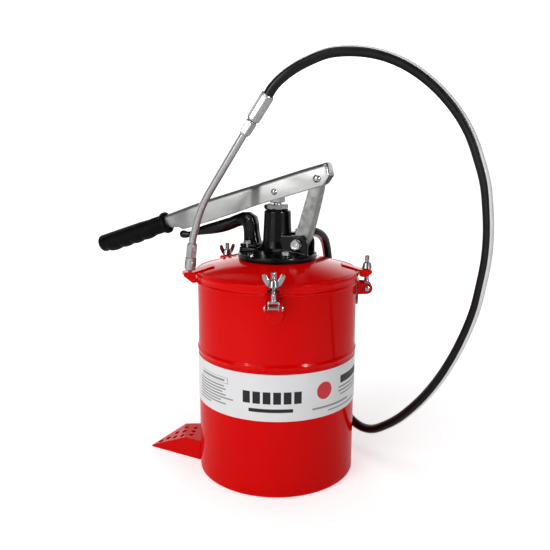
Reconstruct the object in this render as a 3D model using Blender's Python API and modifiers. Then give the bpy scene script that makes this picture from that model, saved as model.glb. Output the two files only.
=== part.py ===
"""Lever-operated bucket grease pump: a steel drum with a clamped lid, a cast pump head with
its hand lever, the pump tube and follower plate inside, and a delivery hose with its wand.

Origin: centre of the drum's bottom. +Z up, front towards -Y, +X to the right.
Lengths below are in millimetres, and MM turns them into metres.
"""

from math import atan2, cos, pi, radians, sin

import bmesh
import bpy
from mathutils import Matrix, Vector

MM = 0.001
MERGE = 0.00005
GAP = 0.3

# Drum and its printed band
DRUM_R = 125.0
DRUM_WALL = 1.2
DRUM_TOP = 318.0
DRUM_FLOOR = 1.5
BEAD_Z = 205.0
BEAD_OUT = 1.8
BAND_LOW = 123.0
BAND_HIGH = 195.0
BAND_THICK = 0.4
ROUND = 48

# Lid
LID_RIM_R = 128.6
LID_RIM_Z = 325.0
LID_SKIRT_LOW = 310.6
LID_SHEET = 1.2
LID_TOP_Z = 344.0
LID_TOP_R = 60.0
LID_HOLE_R = 24.0

# Foot pedal: plan of its corners, the point that its slope climbs to, and the flat above that
PEDAL_TIP = (-217.5, 46.0)
PEDAL_NEAR = (-116.0, -9.0)
PEDAL_FAR = (-100.0, 73.0)
PEDAL_BEND = (-159.7, 70.0)
PEDAL_AIM = (-108.0, 55.0)
PEDAL_CLIMB = 55.8
PEDAL_TOP = 32.5
PEDAL_SHEET = 2.0
PEDAL_HOLE_R = 3.6

# Lid clamps, by their bearing from the front towards the right
CLAMP_BEARINGS = {"front": -2.0, "right": 88.0, "back": -142.0}
REST_BEARING = -77.0
PIN_X = 141.0
PIN_Z = 298.5
PIN_R = 2.8
EAR_AT = 10.4
BOLT_R = 3.8
BOLT_TOP = 349.5
LUG_TOP = 328.0
LUG_TIP = 148.5
LUG_HALF_WIDTH = 11.0
CLAMP_KEEL = [(129.4, 319.0), (132.5, 317.2), (136.5, 316.4), (141.0, 317.4)]
REST_KEEL = [(129.4, 311.0), (135.0, 311.0)]

# Pump head, in its own plan: +X towards the strut
HEAD_TURN = -22.0
FLANGE_R = 62.0
FLANGE_LOW = 346.3
FLANGE_HIGH = 353.0
BARREL_TOP = 419.0
BARREL_R = 20.6
CHEEK_IN = 12.6
CHEEK_OUT = 18.6
STRUT_HALF = 11.8
LEVER_HALF = 14.4
SHEET = 2.0
FLANGE_SCREW = (30.2, 42.3)
HANDLE_SCREW = (-43.0, 17.0)
PORT_BEARING = 64.0
PORT_RISE = 5.0
PORT_Z = 372.0

# Linkage points in the head's side plane (along, height)
STRUT_FOOT = (39.0, 369.8)
STRUT_HEAD = (68.0, 470.3)
ROD_PIN = (0.0, 448.4)
PIVOT_R = 5.0
ROD_PIN_R = 4.0
ROD_SLOT = 4.9

# Pump tube and its inner pieces
TUBE_R = 15.0
TUBE_BORE = 12.0
TUBE_LOW = 27.0
TUBE_HIGH = 361.0
ROD_R = 6.0
PISTON_Z = 62.0
FOLLOWER_Z = 30.0

# Hose: a smooth line through these points, from the pump's ferrule to the wand's
HOSE_R = 7.5
HOSE_STEP = 22.0
HOSE_SIDES = 2
END_STRAIGHT = 4.0
HOSE_POINTS = [
    (46.5, 42, 377.5), (56.5, 50.9, 378), (65.7, 61.3, 375.4), (73.6, 73.3, 369.3),
    (79.8, 84.7, 359.4), (83.7, 95.4, 346.1), (86, 102.1, 333.5), (87.5, 106.5, 322.5),
    (88, 111, 307), (90.5, 117, 277.5), (92.5, 122, 248.5), (94.5, 127, 214), (99, 129.5, 172.5),
    (102, 123.5, 124), (108.5, 101.5, 81.5), (122, 72.5, 55), (140, 40, 45.5), (160, 10, 51),
    (181, -16, 71), (201, -40, 97), (224, -70, 138), (242, -94, 179), (256, -112, 219),
    (267, -126, 258), (275, -137, 296), (279, -145, 333), (282, -150, 369), (282, -152, 404),
    (279, -152, 438), (274, -150, 472), (265, -146, 503), (254, -141, 533), (238, -136, 561),
    (217, -130, 587), (193, -124, 609), (165, -118, 627), (134, -111, 639), (101, -104, 644),
    (67, -97, 642), (36.5, -91.5, 630.5), (17, -90, 619.5), (2, -87, 608), (-7.6, -84.3, 597.8),
    (-13.5, -82, 588.5),
]

# Wand: its straight pieces run through these points
WAND_FERRULE_LENGTH = 42.5
WAND_PIPE_TOP = Vector((-48.6, -68.0, 534.3))
WAND_BEND = Vector((-114.1, -42.0, 428.5))
COUPLER_TOP = Vector((-129.0, -34.0, 371.8))
COUPLER_FOOT = Vector((-134.2, -31.0, 328.2))
PIPE_R = 5.6


def reset_scene():
    """Empties the scene and returns a collection for the parts and one for the cutters."""
    for obj in list(bpy.data.objects):
        bpy.data.objects.remove(obj, do_unlink=True)
    made = []
    for name in ("bucket_grease_pump", "cutters"):
        collection = bpy.data.collections.new(name)
        bpy.context.scene.collection.children.link(collection)
        made.append(collection)
    return made


PARTS, CUTTERS = reset_scene()


def finish(name, colour, roughness, metallic=0.0):
    """A Principled material."""
    material = bpy.data.materials.new(name)
    material.use_nodes = True
    shader = material.node_tree.nodes["Principled BSDF"]
    shader.inputs["Base Color"].default_value = (*colour, 1.0)
    shader.inputs["Roughness"].default_value = roughness
    shader.inputs["Metallic"].default_value = metallic
    return material


RED = finish("red_paint", (0.72, 0.01, 0.01), 0.2)
WHITE = finish("white_label", (0.92, 0.92, 0.92), 0.4)
BLACK = finish("black_enamel", (0.012, 0.012, 0.013), 0.25)
ZINC = finish("zinc_plate", (0.6, 0.6, 0.6), 0.35, 0.9)
STEEL = finish("bare_steel", (0.45, 0.45, 0.46), 0.3, 1.0)
RUBBER = finish("black_rubber", (0.02, 0.02, 0.02), 0.7)


def pivot(name, parent=None, location=(0, 0, 0), turn=0.0):
    """An empty that carries the pieces of one joint or of one place; turn is about +Z."""
    empty = bpy.data.objects.new(name, None)
    PARTS.objects.link(empty)
    empty.parent = parent
    empty.location = Vector(location) * MM
    empty.rotation_euler = (0, 0, radians(turn))
    return empty


def place(obj, parent, location, rotation):
    """Puts obj at a place under its parent."""
    obj.parent = parent
    obj.location = Vector(location) * MM
    obj.rotation_euler = rotation
    return obj


def new_object(name, data, material):
    """Links a new object, as a part if it has a material and as a cutter if it has none."""
    obj = bpy.data.objects.new(name, data)
    if material is None:
        CUTTERS.objects.link(obj)
        obj.hide_render = True
        obj.display_type = "WIRE"
    else:
        PARTS.objects.link(obj)
        data.materials.append(material)
    return obj


def lathe(name, profile, material=None, parent=None, location=(0, 0, 0), rotation=(0, 0, 0),
          steps=24, ring=False):
    """A turned piece from (radius, height) points that run down its outer side."""
    mesh = bpy.data.meshes.new(name)
    count = len(profile)
    edges = [(i, i + 1) for i in range(count - 1)]
    if ring:
        edges.append((count - 1, 0))
    mesh.from_pydata([(r * MM, 0, z * MM) for r, z in profile], edges, [])
    obj = place(new_object(name, mesh, material), parent, location, rotation)
    screw = obj.modifiers.new("turn", "SCREW")
    screw.steps = steps
    screw.render_steps = steps
    screw.use_merge_vertices = True
    screw.merge_threshold = MERGE
    return obj


def tube_profile(outer, inner, high, low):
    """A plain ring's profile."""
    return [(outer, high), (outer, low), (inner, low), (inner, high)]


def rod_profile(radius, high, low):
    """A plain rod's profile."""
    return [(0, high), (radius, high), (radius, low), (0, low)]


def weld_to_mesh(curve_object, material):
    """Turns a curve object into a closed mesh object with the same name and place."""
    bpy.context.view_layer.update()
    evaluated = curve_object.evaluated_get(bpy.context.evaluated_depsgraph_get())
    mesh = bpy.data.meshes.new_from_object(evaluated)
    bm = bmesh.new()
    bm.from_mesh(mesh)
    bmesh.ops.remove_doubles(bm, verts=bm.verts, dist=MERGE)
    bmesh.ops.recalc_face_normals(bm, faces=bm.faces)
    bm.to_mesh(mesh)
    bm.free()
    mesh.materials.clear()
    name = curve_object.name
    parent = curve_object.parent
    local = curve_object.matrix_local.copy()
    bpy.data.objects.remove(curve_object, do_unlink=True)
    obj = new_object(name, mesh, material)
    obj.parent = parent
    obj.matrix_local = local
    return obj


def plate(name, outline, thickness, material=None, parent=None, location=(0, 0, 0),
          rotation=(pi / 2, 0, 0)):
    """A flat piece: an outline of (x, z) points, with its thickness centred across the plane."""
    curve = bpy.data.curves.new(name, "CURVE")
    curve.dimensions = "2D"
    curve.fill_mode = "BOTH"
    curve.extrude = thickness / 2 * MM
    spline = curve.splines.new("POLY")
    spline.points.add(len(outline) - 1)
    for point, (x, y) in zip(spline.points, outline):
        point.co = (x * MM, y * MM, 0, 1)
    spline.use_cyclic_u = True
    return weld_to_mesh(place(new_object(name, curve, material), parent, location, rotation), material)


def pipe(name, points, radius, material, resolution=3, radii=None, parent=None):
    """A round bar or tube along points, with filled ends; radii are factors of its radius."""
    curve = bpy.data.curves.new(name, "CURVE")
    curve.dimensions = "3D"
    curve.bevel_depth = radius * MM
    curve.bevel_resolution = resolution
    curve.use_fill_caps = True
    spline = curve.splines.new("POLY")
    spline.points.add(len(points) - 1)
    for i, (point, place_at) in enumerate(zip(spline.points, points)):
        point.co = (*(Vector(place_at) * MM), 1)
        point.radius = radii[i] if radii else 1.0
    obj = new_object(name, curve, material)
    obj.parent = parent
    return weld_to_mesh(obj, material)


def block(name, low, high, material=None, parent=None, location=(0, 0, 0), rotation=(0, 0, 0)):
    """A box between two corners."""
    mesh = bpy.data.meshes.new(name)
    bm = bmesh.new()
    middle = (Vector(low) + Vector(high)) / 2 * MM
    size = (Vector(high) - Vector(low)) * MM
    bmesh.ops.create_cube(bm, matrix=Matrix.Translation(middle) @ Matrix.Diagonal((*size, 1)))
    bm.to_mesh(mesh)
    bm.free()
    return place(new_object(name, mesh, material), parent, location, rotation)


def combine(obj, operation, *others):
    """Adds one Boolean for each other object."""
    for other in others:
        boolean = obj.modifiers.new(operation.lower(), "BOOLEAN")
        boolean.operation = operation
        boolean.object = other
    return obj


def cut(obj, *others):
    return combine(obj, "DIFFERENCE", *others)


def join(obj, *others):
    return combine(obj, "UNION", *others)


def weld(obj):
    """Merges the points that nearly coincide after a row of Booleans."""
    merge = obj.modifiers.new("weld", "WELD")
    merge.merge_threshold = MERGE
    return obj


def arc(centre, radius, start, end, count=8):
    """Points along an arc, with its angles in degrees."""
    angles = [radians(start + (end - start) * i / count) for i in range(count + 1)]
    return [(centre[0] + radius * cos(a), centre[1] + radius * sin(a)) for a in angles]


def shifted(outline, origin):
    """An outline as seen from a pivot."""
    return [(x - origin[0], y - origin[1]) for x, y in outline]


def toward(start, end):
    """The rotation that turns +Z from start to end."""
    return (Vector(end) - Vector(start)).to_track_quat("Z", "Y").to_euler()


def smooth_line(points, step):
    """Points about one step apart on a Catmull-Rom curve through the given points."""
    knots = [Vector(p) for p in points]
    knots = [2 * knots[0] - knots[1], *knots, 2 * knots[-1] - knots[-2]]
    dense = []
    for a, b, c, d in zip(knots, knots[1:], knots[2:], knots[3:]):
        for i in range(16):
            t = i / 16
            dense.append(0.5 * (2 * b + (c - a) * t + (2 * a - 5 * b + 4 * c - d) * t * t
                                + (3 * b - a - 3 * c + d) * t ** 3))
    dense.append(knots[-2])
    first = dense[0] + (dense[1] - dense[0]).normalized() * END_STRAIGHT
    last = dense[-1] + (dense[-2] - dense[-1]).normalized() * END_STRAIGHT
    length = sum((q - p).length for p, q in zip(dense, dense[1:]))
    count = round(length / step)
    picked = [dense[0]]
    walked = 0.0
    for p, q in zip(dense, dense[1:]):
        span = (q - p).length
        while len(picked) < count and walked + span >= length * len(picked) / count:
            t = (length * len(picked) / count - walked) / span
            picked.append(p.lerp(q, t))
        walked += span
    return [picked[0], first, *picked[1:], last, dense[-1]]


def screw_head(name, parent, location, across=13.0, head=5.3, washer=8.5, shank=4.0, reach=5.5,
               rotation=(0, 0, 0)):
    """A hexagon screw with a washer face; its seat is at the location and its shank points down."""
    hexagon = lathe(name, [(0, head), (across / 2 / cos(pi / 6), head), (across / 2 / cos(pi / 6), 0),
                           (0, 0)], ZINC, parent, location, rotation, steps=6)
    shaft = lathe(name + "_shaft", [(0, 1.2), (washer, 1.2), (washer, 0), (shank, 0),
                                    (shank, -reach), (0, -reach)],
                  None, parent, location, rotation, steps=20)
    return join(hexagon, shaft)


def hexagon(name, corner, high, low, bore, material, parent=None, location=(0, 0, 0),
            rotation=(0, 0, 0), chamfer=1.4):
    """A hexagonal nut or fitting with a round bore right through it."""
    body = lathe(name, [(0, high), (corner - chamfer, high), (corner, high - chamfer),
                        (corner, low + chamfer / 2), (corner - chamfer, low), (0, low)],
                 material, parent, location, rotation, steps=6)
    return cut(body, lathe(name + "_bore", rod_profile(bore, high + 5, low - 5), None, parent,
                           location, rotation, steps=20))


def make_drum():
    """The open drum, its printed band and its pedal."""
    inner = DRUM_R - DRUM_WALL
    lathe("drum", [
        (0, DRUM_FLOOR), (inner - 2.5, DRUM_FLOOR), (inner, 4.5), (inner, DRUM_TOP),
        (DRUM_R, DRUM_TOP), (DRUM_R, BEAD_Z + 3.6), (DRUM_R + BEAD_OUT * 0.75, BEAD_Z + 1.8),
        (DRUM_R + BEAD_OUT, BEAD_Z), (DRUM_R + BEAD_OUT * 0.75, BEAD_Z - 1.8),
        (DRUM_R, BEAD_Z - 3.6), (DRUM_R, 4.0), (DRUM_R - 1.0, 1.4), (DRUM_R - 3.5, 0), (0, 0),
    ], RED, steps=ROUND)
    band = DRUM_R + GAP
    lathe("label_band", tube_profile(band + BAND_THICK, band, BAND_HIGH, BAND_LOW), WHITE,
          steps=ROUND, ring=True)
    make_pedal()


def pedal_wedge(name, inset, material=None):
    """The pedal's wedge, drawn in by an inset: its plan extruded and sliced along the slope."""
    tip = Vector(PEDAL_TIP)
    run = Vector(PEDAL_AIM) - tip
    ahead = run.normalized()
    across = Vector((-ahead.y, ahead.x)) * inset
    beyond = ahead * 30 if inset else ahead * 0
    outline = [tip + ahead * inset * 3.3, Vector(PEDAL_NEAR) + across * 1.15 + beyond,
               Vector(PEDAL_FAR) - across + beyond, Vector(PEDAL_BEND) - across * 1.1]
    low, high = -inset * 5, PEDAL_TOP - inset
    wedge = plate(name, outline, high - low, material, location=(0, 0, (high + low) / 2),
                  rotation=(0, 0, 0))
    over = block(name + "_slice", (-40, -120, -inset), (260, 120, 140),
                 location=(tip.x, tip.y, 2.2))
    slope = Matrix.Rotation(-atan2(PEDAL_CLIMB, run.length), 3, "Y")
    over.rotation_euler = (Matrix.Rotation(atan2(run.y, run.x), 3, "Z") @ slope).to_euler()
    return cut(wedge, over)


def make_pedal():
    """The folded sheet pedal: a wedge that is open below, with rows of punched holes."""
    pedal = pedal_wedge("pedal", 0, RED)
    hollow = pedal_wedge("pedal_hollow", PEDAL_SHEET)
    wall = lathe("pedal_wall", rod_profile(DRUM_R + 0.5, 120, -20), steps=ROUND)
    cut(pedal, hollow, wall)
    tip = Vector(PEDAL_TIP)
    middle = (Vector(PEDAL_NEAR) + Vector(PEDAL_FAR)) / 2
    along = (middle - tip).normalized()
    across = Vector((-along.y, along.x))
    rows = [(18, 1), (31, 1), (45, 2), (60, 3), (76, 3)]
    for row, (distance, count) in enumerate(rows):
        for i in range(count):
            spot = tip + along * distance + across * (i - (count - 1) / 2) * 14
            hole = lathe(f"pedal_hole_{row}_{i}", rod_profile(PEDAL_HOLE_R, 80, 6),
                         location=(spot.x, spot.y, 0), steps=12)
            cut(pedal, hole)


def dome_height(radius):
    """Height of the lid's outer face between its rim and its flat top."""
    share = (LID_RIM_R - 2.4 - radius) / (LID_RIM_R - 2.4 - LID_TOP_R)
    return LID_RIM_Z + 2.2 + (LID_TOP_Z - LID_RIM_Z - 2.2) * (1.25 * share - 0.25 * share * share)


def make_lid():
    """The domed lid with its skirt, and its seal."""
    radii = [LID_TOP_R + (LID_RIM_R - 2.4 - LID_TOP_R) * i / 3 for i in range(4)]
    outer = [(LID_HOLE_R, LID_TOP_Z)] + [(r, dome_height(r)) for r in radii]
    outer += [(LID_RIM_R, LID_RIM_Z), (LID_RIM_R - 1.0, LID_SKIRT_LOW + 4.2),
              (LID_RIM_R + 0.2, LID_SKIRT_LOW + 2), (LID_RIM_R - 0.8, LID_SKIRT_LOW)]
    inner = [(LID_RIM_R - 2.2, LID_SKIRT_LOW), (LID_RIM_R - 2.2, LID_RIM_Z - 1.4)]
    inner += [(r, dome_height(r) - LID_SHEET) for r in (radii[3] - 2, *radii[2::-1])]
    inner += [(LID_HOLE_R, LID_TOP_Z - LID_SHEET)]
    lathe("lid", outer + inner, RED, steps=ROUND, ring=True)
    lathe("lid_gasket", tube_profile(DRUM_R - 0.4, DRUM_R - 6.5, LID_RIM_Z, DRUM_TOP + GAP), RUBBER,
          steps=ROUND, ring=True)


def lug_outline(keel):
    """Side view of a lid lug: a tail lying up the dome and a cheek outside the rim."""
    tail = [(101, 0), (112, 0), (125.6, 0)]
    under = [(x, dome_height(x) + GAP) for x, _ in tail]
    over = [(x, dome_height(x) + GAP + SHEET) for x, _ in reversed(tail)]
    outside = [(130.4, LUG_TOP - SHEET), *keel, (LUG_TIP, LUG_TOP - 5.5), (LUG_TIP, LUG_TOP - 4.0),
               (LUG_TIP - 1.4, LUG_TOP - 1.4), (LUG_TIP - 4.2, LUG_TOP), (130.5, LUG_TOP)]
    return under + outside + over


def make_lug(name, station, slotted):
    """A pressed channel on the lid's rim, with a slot for a swing bolt or a stub for the wand."""
    lug = plate(name, lug_outline(CLAMP_KEEL if slotted else REST_KEEL), 2 * LUG_HALF_WIDTH, RED,
                station)
    inside = LUG_HALF_WIDTH - SHEET
    cut(lug, block(name + "_inside", (129, -inside, 300), (160, inside, LUG_TOP - SHEET),
                   parent=station))
    if slotted:
        mouth = BOLT_R + 1.1
        cut(lug, block(name + "_slot", (PIN_X - 2.5, -mouth, 320), (160, mouth, 335), parent=station),
            lathe(name + "_slot_end", rod_profile(mouth, 335, 320), None, station,
                  (PIN_X - 2.5, 0, 0), steps=16))
    return lug


def make_clamp(side, bearing):
    """One lid clamp: bracket, hinge pin, swing bolt and wing nut, and the lug they pull on."""
    station = pivot("station_" + side, turn=bearing - 90)
    hinge = pivot("hinge_" + side, station, (PIN_X, 0, PIN_Z))
    make_lug("lid_lug_" + side, station, slotted=True)

    tongue = arc((0, 284), 13.5, 180, 360, 8) + [(13.5, 309.5), (-13.5, 309.5)]
    bracket = plate("clamp_bracket_" + side, tongue, 2.2, RED, station, (DRUM_R + GAP + 1.2, 0, 0),
                    (pi / 2, 0, pi / 2))
    ear = [(126.6, PIN_Z - 9)] + arc((PIN_X, PIN_Z), 9, -90, 90, 8) + [(126.6, PIN_Z + 9)]
    for y in (-EAR_AT, EAR_AT):
        join(bracket, plate(f"ear_{side}_{y:.0f}", ear, SHEET, None, station, (0, y, 0)))
    across = (pi / 2, 0, 0)
    cut(bracket, lathe("ear_hole_" + side, rod_profile(PIN_R + 0.3, 20, -20), None, hinge,
                       rotation=across, steps=16))
    flush = EAR_AT + SHEET / 2 + GAP
    lathe("clamp_pin_" + side, [
        (0, flush + 3), (3.2, flush + 3), (4.8, flush + 1.4), (4.8, flush), (PIN_R, flush),
        (PIN_R, -flush), (4.8, -flush), (4.8, -flush - 1.4), (3.2, -flush - 3), (0, -flush - 3),
    ], ZINC, hinge, rotation=across, steps=16)

    shackle = [(-4.5, 0), (-4.5, 10.5), (4.5, 10.5), (4.5, 0)] + arc((0, 0), 4.5, 0, -180, 6)[1:-1]
    bolt = plate("swing_bolt_" + side, shackle, 2 * EAR_AT - SHEET - 0.8, ZINC, hinge)
    cut(bolt, block("shackle_gap_" + side, (-8, -6.6, -8), (8, 6.6, 7.6), parent=hinge),
        lathe("shackle_hole_" + side, rod_profile(PIN_R + 0.3, 20, -20), None, hinge,
              rotation=across, steps=16))
    join(bolt, lathe("bolt_shank_" + side, [(0, BOLT_TOP - PIN_Z), (BOLT_R - 0.8, BOLT_TOP - PIN_Z),
                                            (BOLT_R, BOLT_TOP - PIN_Z - 0.8), (BOLT_R, 8), (0, 8)],
                     None, hinge, steps=16))

    nut_base = LUG_TOP + GAP - PIN_Z
    nut = lathe("wing_nut_" + side, [(0, nut_base + 10), (6.2, nut_base + 10), (7.6, nut_base + 1),
                                     (7.6, nut_base), (0, nut_base)], ZINC, hinge, steps=20)
    for hand in (-1, 1):
        wing = wing_outline(hand, nut_base)
        join(nut, plate(f"wing_{side}_{hand}", wing, 3.0, None, hinge, rotation=(pi / 2, 0, pi / 2)))
    cut(nut, lathe("nut_bore_" + side, rod_profile(BOLT_R + 0.4, 60, 20), None, hinge, steps=16))


def wing_outline(hand, base):
    """One wing of a wing nut: a rounded blade that leans outwards."""
    root, tip = Vector((5.0, base + 4.0)), Vector((12.8, base + 15.4))
    lean = atan2(tip.y - root.y, tip.x - root.x)
    ends = [(root, 3.4, 90, 270), (tip, 4.2, -90, 90)]
    points = []
    for centre, radius, start, end in ends:
        for x, y in arc((0, 0), radius, start, end, 6):
            points.append((hand * (centre.x + x * cos(lean) - y * sin(lean)),
                           centre.y + x * sin(lean) + y * cos(lean)))
    return points


def make_rest(bearing):
    """The lug on the left, whose stub holds the parked wand."""
    station = pivot("station_left", turn=bearing - 90)
    rest = make_lug("nozzle_rest", station, slotted=False)
    seat = COUPLER_FOOT
    join(rest, lathe("rest_stub", [(0, 7.5), (1.8, 7.5), (3.0, 5.5), (3.0, -2.6), (0, -2.6)], None,
                     None, seat, toward(COUPLER_FOOT, COUPLER_TOP), steps=16))


def make_head(head):
    """The cast head: flange, barrel, pivot cheeks, handle boss and outlet boss."""
    casting = lathe("pump_head", [
        (0, BARREL_TOP), (BARREL_R - 0.8, BARREL_TOP), (BARREL_R, BARREL_TOP - 1.5),
        (BARREL_R + 1.6, 370), (BARREL_R + 3, 361), (BARREL_R + 8, 357.5),
        (FLANGE_R - 8, FLANGE_HIGH + 2.5), (FLANGE_R - 3, FLANGE_HIGH), (FLANGE_R, FLANGE_HIGH - 1.5),
        (FLANGE_R, FLANGE_LOW), (21.5, FLANGE_LOW), (21.5, FLANGE_LOW - 8), (0, FLANGE_LOW - 8),
    ], BLACK, head, steps=32)
    foot_x, foot_z = STRUT_FOOT
    cheek = [(12, 350), (56, 350)] + arc((foot_x, foot_z), 17, 0, 60, 5)
    cheek += arc((foot_x - 5, foot_z), 13.6, 70, 90, 2) + [(12, foot_z + 13.6)]
    thick = CHEEK_OUT - CHEEK_IN
    for y in (-1, 1):
        join(casting, plate(f"cheek_{y}", cheek, thick, None, head, (0, y * (CHEEK_IN + thick / 2), 0)))
    join(casting, block("handle_boss", (-57, -23.5, 350), (-27, 23.5, 361), parent=head))
    port = pivot("port", head, (0, 0, PORT_Z), PORT_BEARING)
    port.rotation_euler.y = -radians(PORT_RISE)
    outward = (0, pi / 2, 0)
    join(casting, lathe("port_boss", [(0, 28), (9.2, 28), (10, 27), (10, 12), (0, 12)], None, port,
                        rotation=outward, steps=20))

    bore = [(0, 430), (10.4, 430), (10.4, 405), (6.6, 405), (6.6, 398), (TUBE_BORE, 398),
            (TUBE_BORE, 362), (TUBE_R + GAP, 362), (TUBE_R + GAP, 330), (0, 330)]
    cut(casting, lathe("head_bore", bore, None, head, steps=32))
    cut(casting, lathe("port_bore", [(0, 40), (7.0, 40), (7.0, 18.5), (3.0, 17.0), (3.0, 5), (0, 5)],
                       None, port, rotation=outward, steps=20))
    for x, y in head_screw_spots():
        cut(casting, lathe(f"screw_hole_{x:.0f}_{y:.0f}", rod_profile(4.3, 380, 330), None, head,
                           (x, y, 0), steps=12))
    cut(casting, lathe("strut_bolt_hole", rod_profile(PIVOT_R + 0.25, 40, -40), None, head,
                       (foot_x, 0, foot_z), (pi / 2, 0, 0), steps=20))
    weld(casting)
    gasket = lathe("flange_gasket", tube_profile(FLANGE_R - 1, 21.9, FLANGE_LOW - GAP,
                                                 LID_TOP_Z + GAP), RUBBER, head, steps=32, ring=True)
    for x, y in head_screw_spots():
        cut(gasket, lathe(f"gasket_hole_{x:.0f}_{y:.0f}", rod_profile(4.6, 380, 330), None, head,
                          (x, y, 0), steps=8))
    return port


def head_screw_spots():
    """Places of the four screws through the flange."""
    return [(x, side * y) for x, y in (FLANGE_SCREW, HANDLE_SCREW) for side in (-1, 1)]


def make_handle(head):
    """The carrying handle on its foot plate, and the four screws of the flange."""
    line = [(-42, 363.4, 13.4), (-42.6, 369, 13.0), (-43.3, 376, 12.2), (-44.1, 384, 11.6),
            (-45.1, 394, 12.0), (-47, 399.5, 13.0), (-51.5, 402.5, 12.0), (-57.5, 402.6, 10.6),
            (-64.5, 400.4, 9.9), (-79.5, 394.3, 9.8), (-99.5, 387.7, 9.8), (-119.5, 382.7, 8.6),
            (-139.5, 377.6, 6.3), (-155.5, 371.9, 4.8), (-161.5, 370.9, 5.6), (-166.5, 371.2, 6.4),
            (-170.5, 371.9, 5.8), (-173.3, 372.4, 3.4)]
    handle = pipe("carry_handle", [(x, 0, z) for x, z, _ in line], 1.0, BLACK, 3,
                  [radius for _, _, radius in line], head)
    join(handle, block("handle_foot", (-56.5, -23, 361.3), (-27.5, 23, 366.5), parent=head))
    for x, y in head_screw_spots():
        if x < 0:
            cut(handle, lathe(f"foot_hole_{y:.0f}", rod_profile(4.3, 368, 355), None, head, (x, y, 0),
                              steps=16))
            cut(handle, lathe(f"foot_spot_{y:.0f}", rod_profile(10.4, 384, 366.5), None, head,
                              (x, y + (3 if y > 0 else -3), 0), steps=16))
    for name, (x, y) in zip(("flange_screw_front", "flange_screw_rear", "handle_screw_front",
                             "handle_screw_rear"), head_screw_spots()):
        seat = 366.8 if x < 0 else FLANGE_HIGH + 4.3
        reach = 10 if x < 0 else 8
        screw_head(name, head, (x, y, seat), 11.0, 5.0, 6.6, 3.9, reach)


def make_gland(head):
    """The packing, wiper and nut around the rod at the top of the barrel."""
    lathe("gland_packing", tube_profile(10.1, ROD_R + 0.3, 418.6, 405.3), RUBBER, head, steps=24,
          ring=True)
    wiper = lathe("gland_wiper", tube_profile(16.6, ROD_R + 0.5, 421.0, 419.3), RUBBER, head,
                  steps=24, ring=True)
    tab = [(-12, 419.3), (-18, 419.3), (-20.2, 420.6), (-21.4, 423.0), (-20.8, 426), (-19.2, 427.4),
           (-18.8, 424.6), (-18.0, 422.2), (-16.6, 421.0), (-12, 421.0)]
    join(wiper, plate("wiper_tab", tab, 8, None, head))
    hexagon("gland_nut", 17.0, 428.8, 421.3, ROD_R + 0.4, ZINC, head)


def lever_side():
    """Side view of the lever's outside, from its high end round to its neck."""
    return [(81.5, 494.6), (84.6, 488), (86.0, 474.4), (77.5, 460.6), (41.6, 449.2), (-30.7, 426.6),
            (-74, 410.9), (-122.4, 393.9), (-145.5, 386.8), (-161.5, 381.0), (-169.5, 380.2),
            (-174.5, 383.0), (-179, 382.2), (-193.9, 380.3), (-196.7, 379.3), (-203.8, 400.1),
            (-167.5, 413.9), (-138.3, 424.2), (-116.1, 432.2), (-30.8, 459.2), (40.1, 482.2)]


def lever_hollow():
    """Side view of the lever's hollow, which is open below and at the lower end of its nose."""
    return [(79.8, 491.8), (83.0, 486), (84.0, 475.5), (110, 473), (110, 420), (-100, 340),
            (-185, 350), (-172, 392), (-164, 407), (-137.5, 422.0), (-115.5, 430.0),
            (-30.2, 457.0), (40.7, 480.0)]


def lever_plan(half_wide, half_narrow, tail):
    """Plan of the lever: a wide fork at the pins, a narrower arm and a tail into the grip."""
    edge = [(110, half_wide), (-24, half_wide), (-40, half_narrow), (-150, half_narrow), (-184, tail),
            (-210, tail)]
    return edge + [(x, -y) for x, y in reversed(edge)]


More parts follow.
